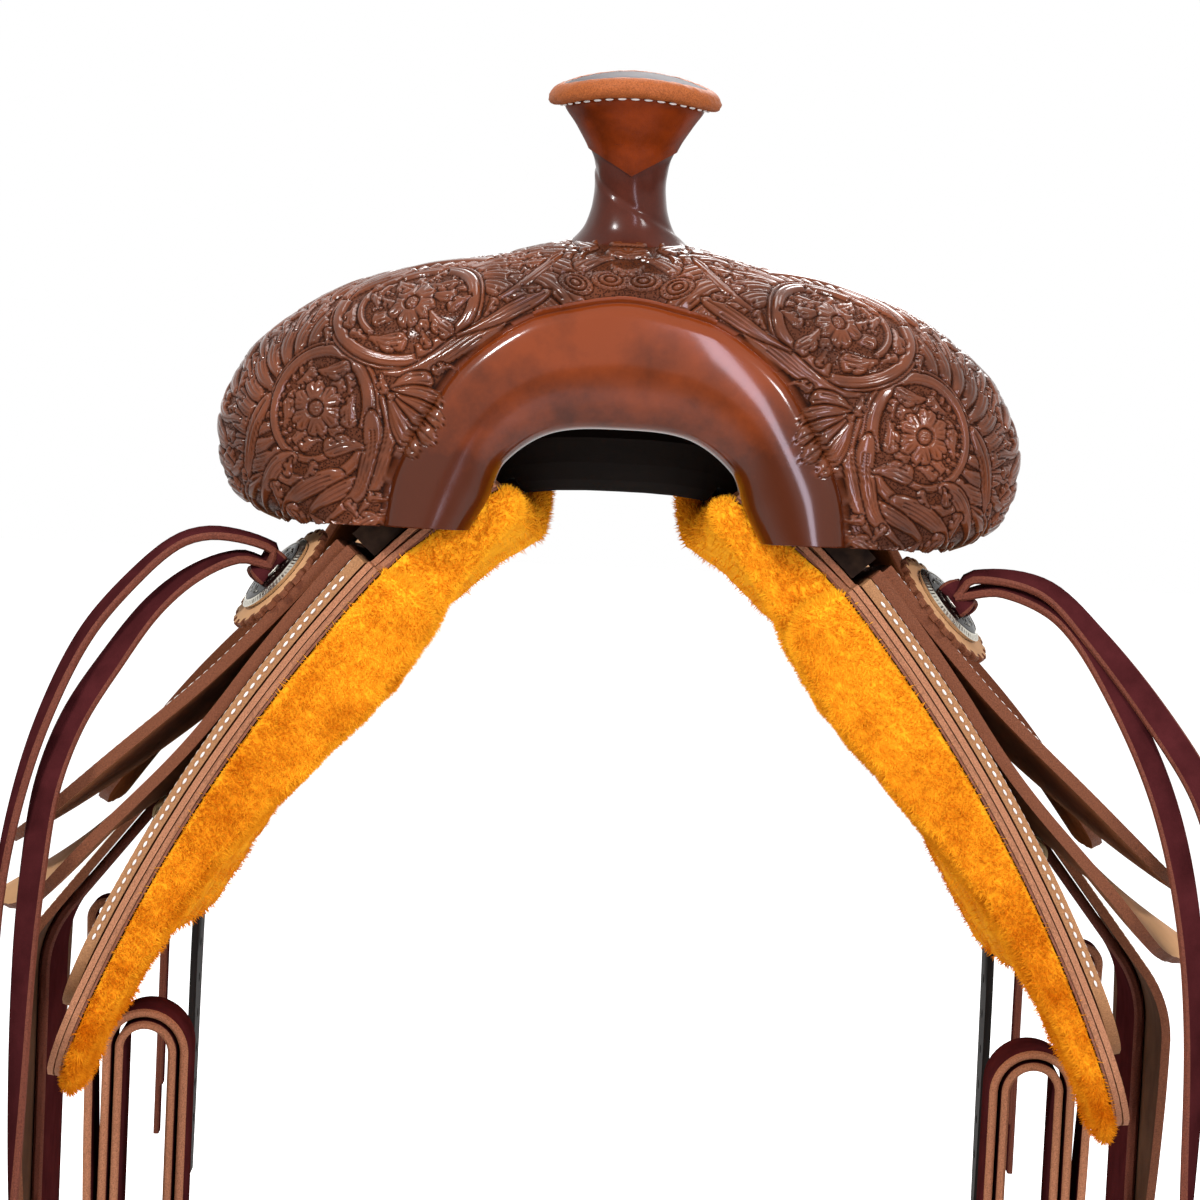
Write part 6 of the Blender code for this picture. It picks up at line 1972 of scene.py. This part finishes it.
class SADDLE_OT_conchos(bpy.types.Operator):
    """Engraved conchos on notched rosettes"""
    bl_idname = "saddle.conchos"
    bl_label = "Conchos"

    def execute(self, context):
        steps, rings = 288, 70
        radii = np.linspace(CONCHO_RADIUS * 0.999, .0026, rings)
        angles = np.linspace(0, 2 * pi, steps, endpoint=False)
        chart = np.stack([np.outer(radii, np.cos(angles)), np.outer(radii, np.sin(angles))], -1).reshape(-1, 2) * 1000
        work = Carving(chart, -0.42)
        for k in range(8):
            a = k * pi / 4
            base = 8.6 * np.array([cos(a), sin(a)])
            work.leaf(base, a + 0.75, 9.0, 3.4, 1.5 if k % 2 else 1.1, 4, 0.15)
            work.leaf(9.5 * np.array([cos(a + .4), sin(a + .4)]), a + .3, 5.0, 2.4, -1.4, 3, 0.12)
        reach = np.linalg.norm(chart, axis=1)
        turn = np.arctan2(chart[:, 1], chart[:, 0])
        beads = -0.30 + 0.42 * np.abs(np.sin(turn * 30)) ** 0.6
        height = np.where(reach > 17.6, beads, work.height)
        height = np.where((reach > 16.8) & (reach <= 17.6), 0.12, height)
        height = np.where(reach > 19.3, 0.0, height)
        middle = 0.30 * np.cos(np.clip(reach / 7.4, 0, 1) * pi / 2) ** 0.5
        middle = middle - 0.28 * np.abs(np.sin(turn * 8)) * (reach > 3.6)
        height = np.where(reach < 7.0, middle, np.where(reach < 7.8, 0.15, height)).reshape(rings, steps)
        dark = np.clip((0.02 - height) / 0.34, 0, 1)
        dome = np.interp(radii, (.003, .010, .016, .020), (.0034, .0031, .0020, .0002))
        for label, side in SIDES:
            place = concho_place(side)
            profile = ([(r, h) for r, h in zip(radii, dome)] + [(.0026, .0012), (.010, .0010), (.019, -.0014)])

            def engraved(angles, k):
                return (0, height[k] * 0.0008) if k < rings else (0, 0)

            made = turned(f"engraved_concho_{label}", profile, finishes("silver"), place, steps, None, engraved)
            darken(made, place, radii, dark)
            ride(made, "saddle", f"concho_{label}", slot="silver")

            def notched(angles, k):
                tooth = np.clip(np.sin(angles * 22) * 5, -1, 1)
                return (-0.0011 + 0.0011 * tooth, 0) if 1 <= k <= 4 else (0, 0)

            edge = ROSETTE_RADIUS
            rosette = turned(f"notched_rosette_{label}", ((.003, -.0017), (edge - .0008, -.0017), (edge, -.0023),
                             (edge, -.0042), (edge - .0008, -.0048), (.003, -.0048)),
                             finishes("natural", "edge"), place, 660, [0, 1, 1, 1, 0, 0], notched)
            ride(rosette, "saddle", f"rosette_{label}", slot="edged_leather")
        return {"FINISHED"}


def rear_string(label, side):
    low = REAR_JOCKEY_D + JOCKEY_T + 2 * GAP + STRING_T
    high = low + .0030
    slope_s = (.100, .130, .165, .200, .235, .262, .275)
    outer = [back_point(s, REAR_STRING_Y, high + .0005) for s in slope_s]
    inner = [back_point(s, REAR_STRING_Y, low) for s in slope_s]
    path = [(outer[-1][0] + .004, outer[-1][2] - drop) for drop in (.200, .130, .060, .020)]
    path += [(p[0], p[2]) for p in outer[::-1]]
    for s, d in ((.086, high), (.080, (high + low) / 2), (.086, low)):
        p = back_point(s, REAR_STRING_Y, d)
        path.append((p[0], p[2]))
    path += [(p[0], p[2]) for p in inner]
    path += [(inner[-1][0] + .003, inner[-1][2] - drop) for drop in (.020, .060, .120, .170)]
    flat_strap(f"rear_string_{label}", side, rounded(path, 2), REAR_STRING_Y, STRING_HALF, STRING_T, "saddle",
               f"rear_strings_{label}")


class SADDLE_OT_strings(bpy.types.Operator):
    """Saddle strings, knotted through the conchos and on the rear jockeys"""
    bl_idname = "saddle.strings"
    bl_label = "Saddle strings"

    def execute(self, context):
        finish = finishes("burgundy", "burgundy_edge")
        for label, side in SIDES:
            place = concho_place(side)
            knot = np.array(place @ Vector((0, 0, .0062)))
            knot[0] = abs(knot[0])
            parts = []
            for tail, twist in zip(*((NEAR_TAILS, (1.3, 1.1)) if side > 0 else (OFF_TAILS, (0.45, 1.2)))):
                spots = [(-.002, .001, 0.0)] + [(o, f, u) for o, u, f in tail]
                line = curve_through([knot + (o, -f, u) for o, f, u in spots], 110)
                share = np.linspace(0, 1, 110)
                turn = twist * np.sin(pi * np.clip(share * 1.15, 0, 1)) + 0.12 * np.sin(share * 9)
                tangent = unit(np.gradient(line, axis=0))
                level = np.cross(tangent, (0, 1, 0))
                across = np.outer(np.cos(turn), (0, 1, 0)) + level * np.sin(turn)[:, None]
                parts.append((line, across))
            matrix = np.array(place)

            def around(points):
                on_place = moved(np.array(points), place)
                on_place[:, 0] = np.abs(on_place[:, 0])
                return on_place

            loop = np.linspace(0, 2 * pi, 40)
            wide, high = .0068, .0036
            for tilt in (0.5, -0.55):
                ring = np.stack([wide * np.cos(loop) * cos(tilt), wide * np.cos(loop) * sin(tilt),
                                 .0046 + high * np.sin(loop)], -1)
                parts.append((around(ring[:-1]), None))
            for k, (line, across) in enumerate(parts):
                line = mirror_x(line, side)
                if across is None:
                    made = sweep(f"string_knot_{k}_{label}", line,
                                 mirror_x(matrix[:3, 1] * (-1 if k % 2 else 1) + matrix[:3, 0] * .4, 1),
                                 strap_section(.0052, .0028)[0], finish, STRAP_EDGES, cyclic=True)
                else:
                    made = strap(f"string_tail_{k}_{label}", line, mirror_x(across, side), STRING_HALF * 1.08,
                                 STRING_T * 1.2, finish)
                ride(made, "saddle", *([f"front_strings_{label}"] if k == 0 else []), slot="burgundy_leather")
            rear_string(label, side)
        return {"FINISHED"}


# ---- stage --------------------------------------------------------------------------------------

def surroundings(scene):
    world = bpy.data.worlds.new("white_room")
    scene.world = world
    world.use_nodes = True
    base = world.node_tree.nodes["Background"]
    base.inputs["Color"].default_value = (1.0, 0.97, 0.93, 1)
    base.inputs["Strength"].default_value = 0.26
    wire(world.node_tree, {
        "white": ("Background", {"Color": (1, 1, 1, 1)}), "ray": "LightPath", "mix": "MixShader",
        "direct": ("Math", {"operation": "MAXIMUM"}), "seen": ("Math", {"operation": "MAXIMUM"})}, """
ray.Is Camera Ray > direct.0
ray.Is Glossy Ray > direct.1
direct.0 > seen.0
ray.Is Transmission Ray > seen.1
seen.0 > mix.Fac
base.Background > mix.1
white.Background > mix.2
mix.Shader > surface.Surface""", base=base, surface=world.node_tree.nodes["World Output"])


def floor_finish():
    """Pale floor that shows the shadow near the saddle and turns pure white away from it."""
    made, tree, shader = blank("floor_finish", 0.9, specular=0.05)
    shader.inputs["Base Color"].default_value = (0.86, 0.86, 0.86, 1)
    shader.inputs["Emission Color"].default_value = (1, 1, 1, 1)
    wire(tree, {
        "ray": "LightPath", "place": "TexCoord", "reach": ("VectorMath", {"operation": "LENGTH"}),
        "far": ("MapRange", {"From Min": 0.5, "From Max": 1.7, "To Min": 0.45, "To Max": 1.0}),
        "scale": ("Math", {"operation": "MULTIPLY"})}, """
place.Object > reach.0
reach.Value > far.Value
far.Result > scale.0
ray.Is Camera Ray > scale.1
scale.0 > shader.Emission Strength""", shader=shader)
    return made


class SADDLE_OT_stage(bpy.types.Operator):
    """Camera, lights, pale floor and white surroundings"""
    bl_idname = "saddle.stage"
    bl_label = "Stage"

    def execute(self, context):
        scene = context.scene
        scene.view_settings.view_transform = "Standard"
        camera = bpy.data.cameras.new("camera")
        camera.sensor_width, camera.lens = 36.0, CAMERA_LENS
        eye = bpy.data.objects.new("camera", camera)
        scene.collection.objects.link(eye)
        aim = Vector(CAMERA_AIM)
        eye.location = aim + Vector((0, -CAMERA_BACK, CAMERA_UP))
        look = (aim - eye.location).to_track_quat("-Z", "Y")
        eye.rotation_euler = (look.to_matrix() @ Matrix.Rotation(CAMERA_TILT, 3, "Z")).to_euler()
        scene.camera = eye
        for name, place, size, power in (("key", (-1.3, -1.9, 1.7), 0.4, 50), ("fill", (1.6, -1.8, 1.2), 0.45, 26),
                                         ("strip", (0.50, -2.2, 0.45), 0.30, 20), ("top", (0.1, 0.1, 2.2), 1.4, 30),
                                         ("back", (0.4, 2.2, 1.5), 1.4, 30)):
            lamp = bpy.data.lights.new(name, "AREA")
            lamp.shape, lamp.size, lamp.energy = "DISK", size, power
            if name == "strip":
                lamp.shape, lamp.size_y, lamp.color = "RECTANGLE", 1.5, (0.90, 0.82, 1.0)
            light = bpy.data.objects.new(name, lamp)
            light.location = place
            light.rotation_euler = (Vector((0, 0, -.05)) - light.location).to_track_quat("-Z", "Y").to_euler()
            scene.collection.objects.link(light)
        surroundings(scene)
        level, corners = CAD_BOX[0][2] - FLOOR_DROP, ((-1, -1), (1, -1), (1, 1), (-1, 1))
        floor = make("floor", [(x * 9, y * 9, level) for x, y in corners], [(0, 1, 2, 3)], [floor_finish()],
                     recalc=False)
        return {"FINISHED"}


# ---- add-on -------------------------------------------------------------------------------------

STEPS = (SADDLE_OT_finishes, SADDLE_OT_fork, SADDLE_OT_horn, SADDLE_OT_skirts, SADDLE_OT_fleece, SADDLE_OT_flaps,
         SADDLE_OT_seat, SADDLE_OT_fenders, SADDLE_OT_rings, SADDLE_OT_straps, SADDLE_OT_conchos, SADDLE_OT_strings,
         SADDLE_OT_stage)


class SADDLE_PT_panel(bpy.types.Panel):
    """The saddle's steps, sizes and colours"""
    bl_idname = "SADDLE_PT_panel"
    bl_label = "Ranch Saddle"
    bl_space_type = "VIEW_3D"
    bl_region_type = "UI"
    bl_category = "Saddle"

    def draw(self, context):
        for step in STEPS:
            self.layout.operator(step.bl_idname)
        for group in (context.scene.saddle_sizes, context.scene.saddle_colours):
            for key in group.__annotations__:
                self.layout.prop(group, key)


CLASSES = (SaddleSizes, SaddleColours, *STEPS, SADDLE_PT_panel)


def register():
    for item in CLASSES:
        bpy.utils.register_class(item)
    bpy.types.Scene.saddle_sizes = bpy.props.PointerProperty(type=SaddleSizes)
    bpy.types.Scene.saddle_colours = bpy.props.PointerProperty(type=SaddleColours)


def unregister():
    del bpy.types.Scene.saddle_sizes
    del bpy.types.Scene.saddle_colours
    for item in reversed(CLASSES):
        bpy.utils.unregister_class(item)


def main():
    register()
    for step in STEPS:
        group, name = step.bl_idname.split(".")
        getattr(getattr(bpy.ops, group), name)()


if __name__ == "__main__":
    main()
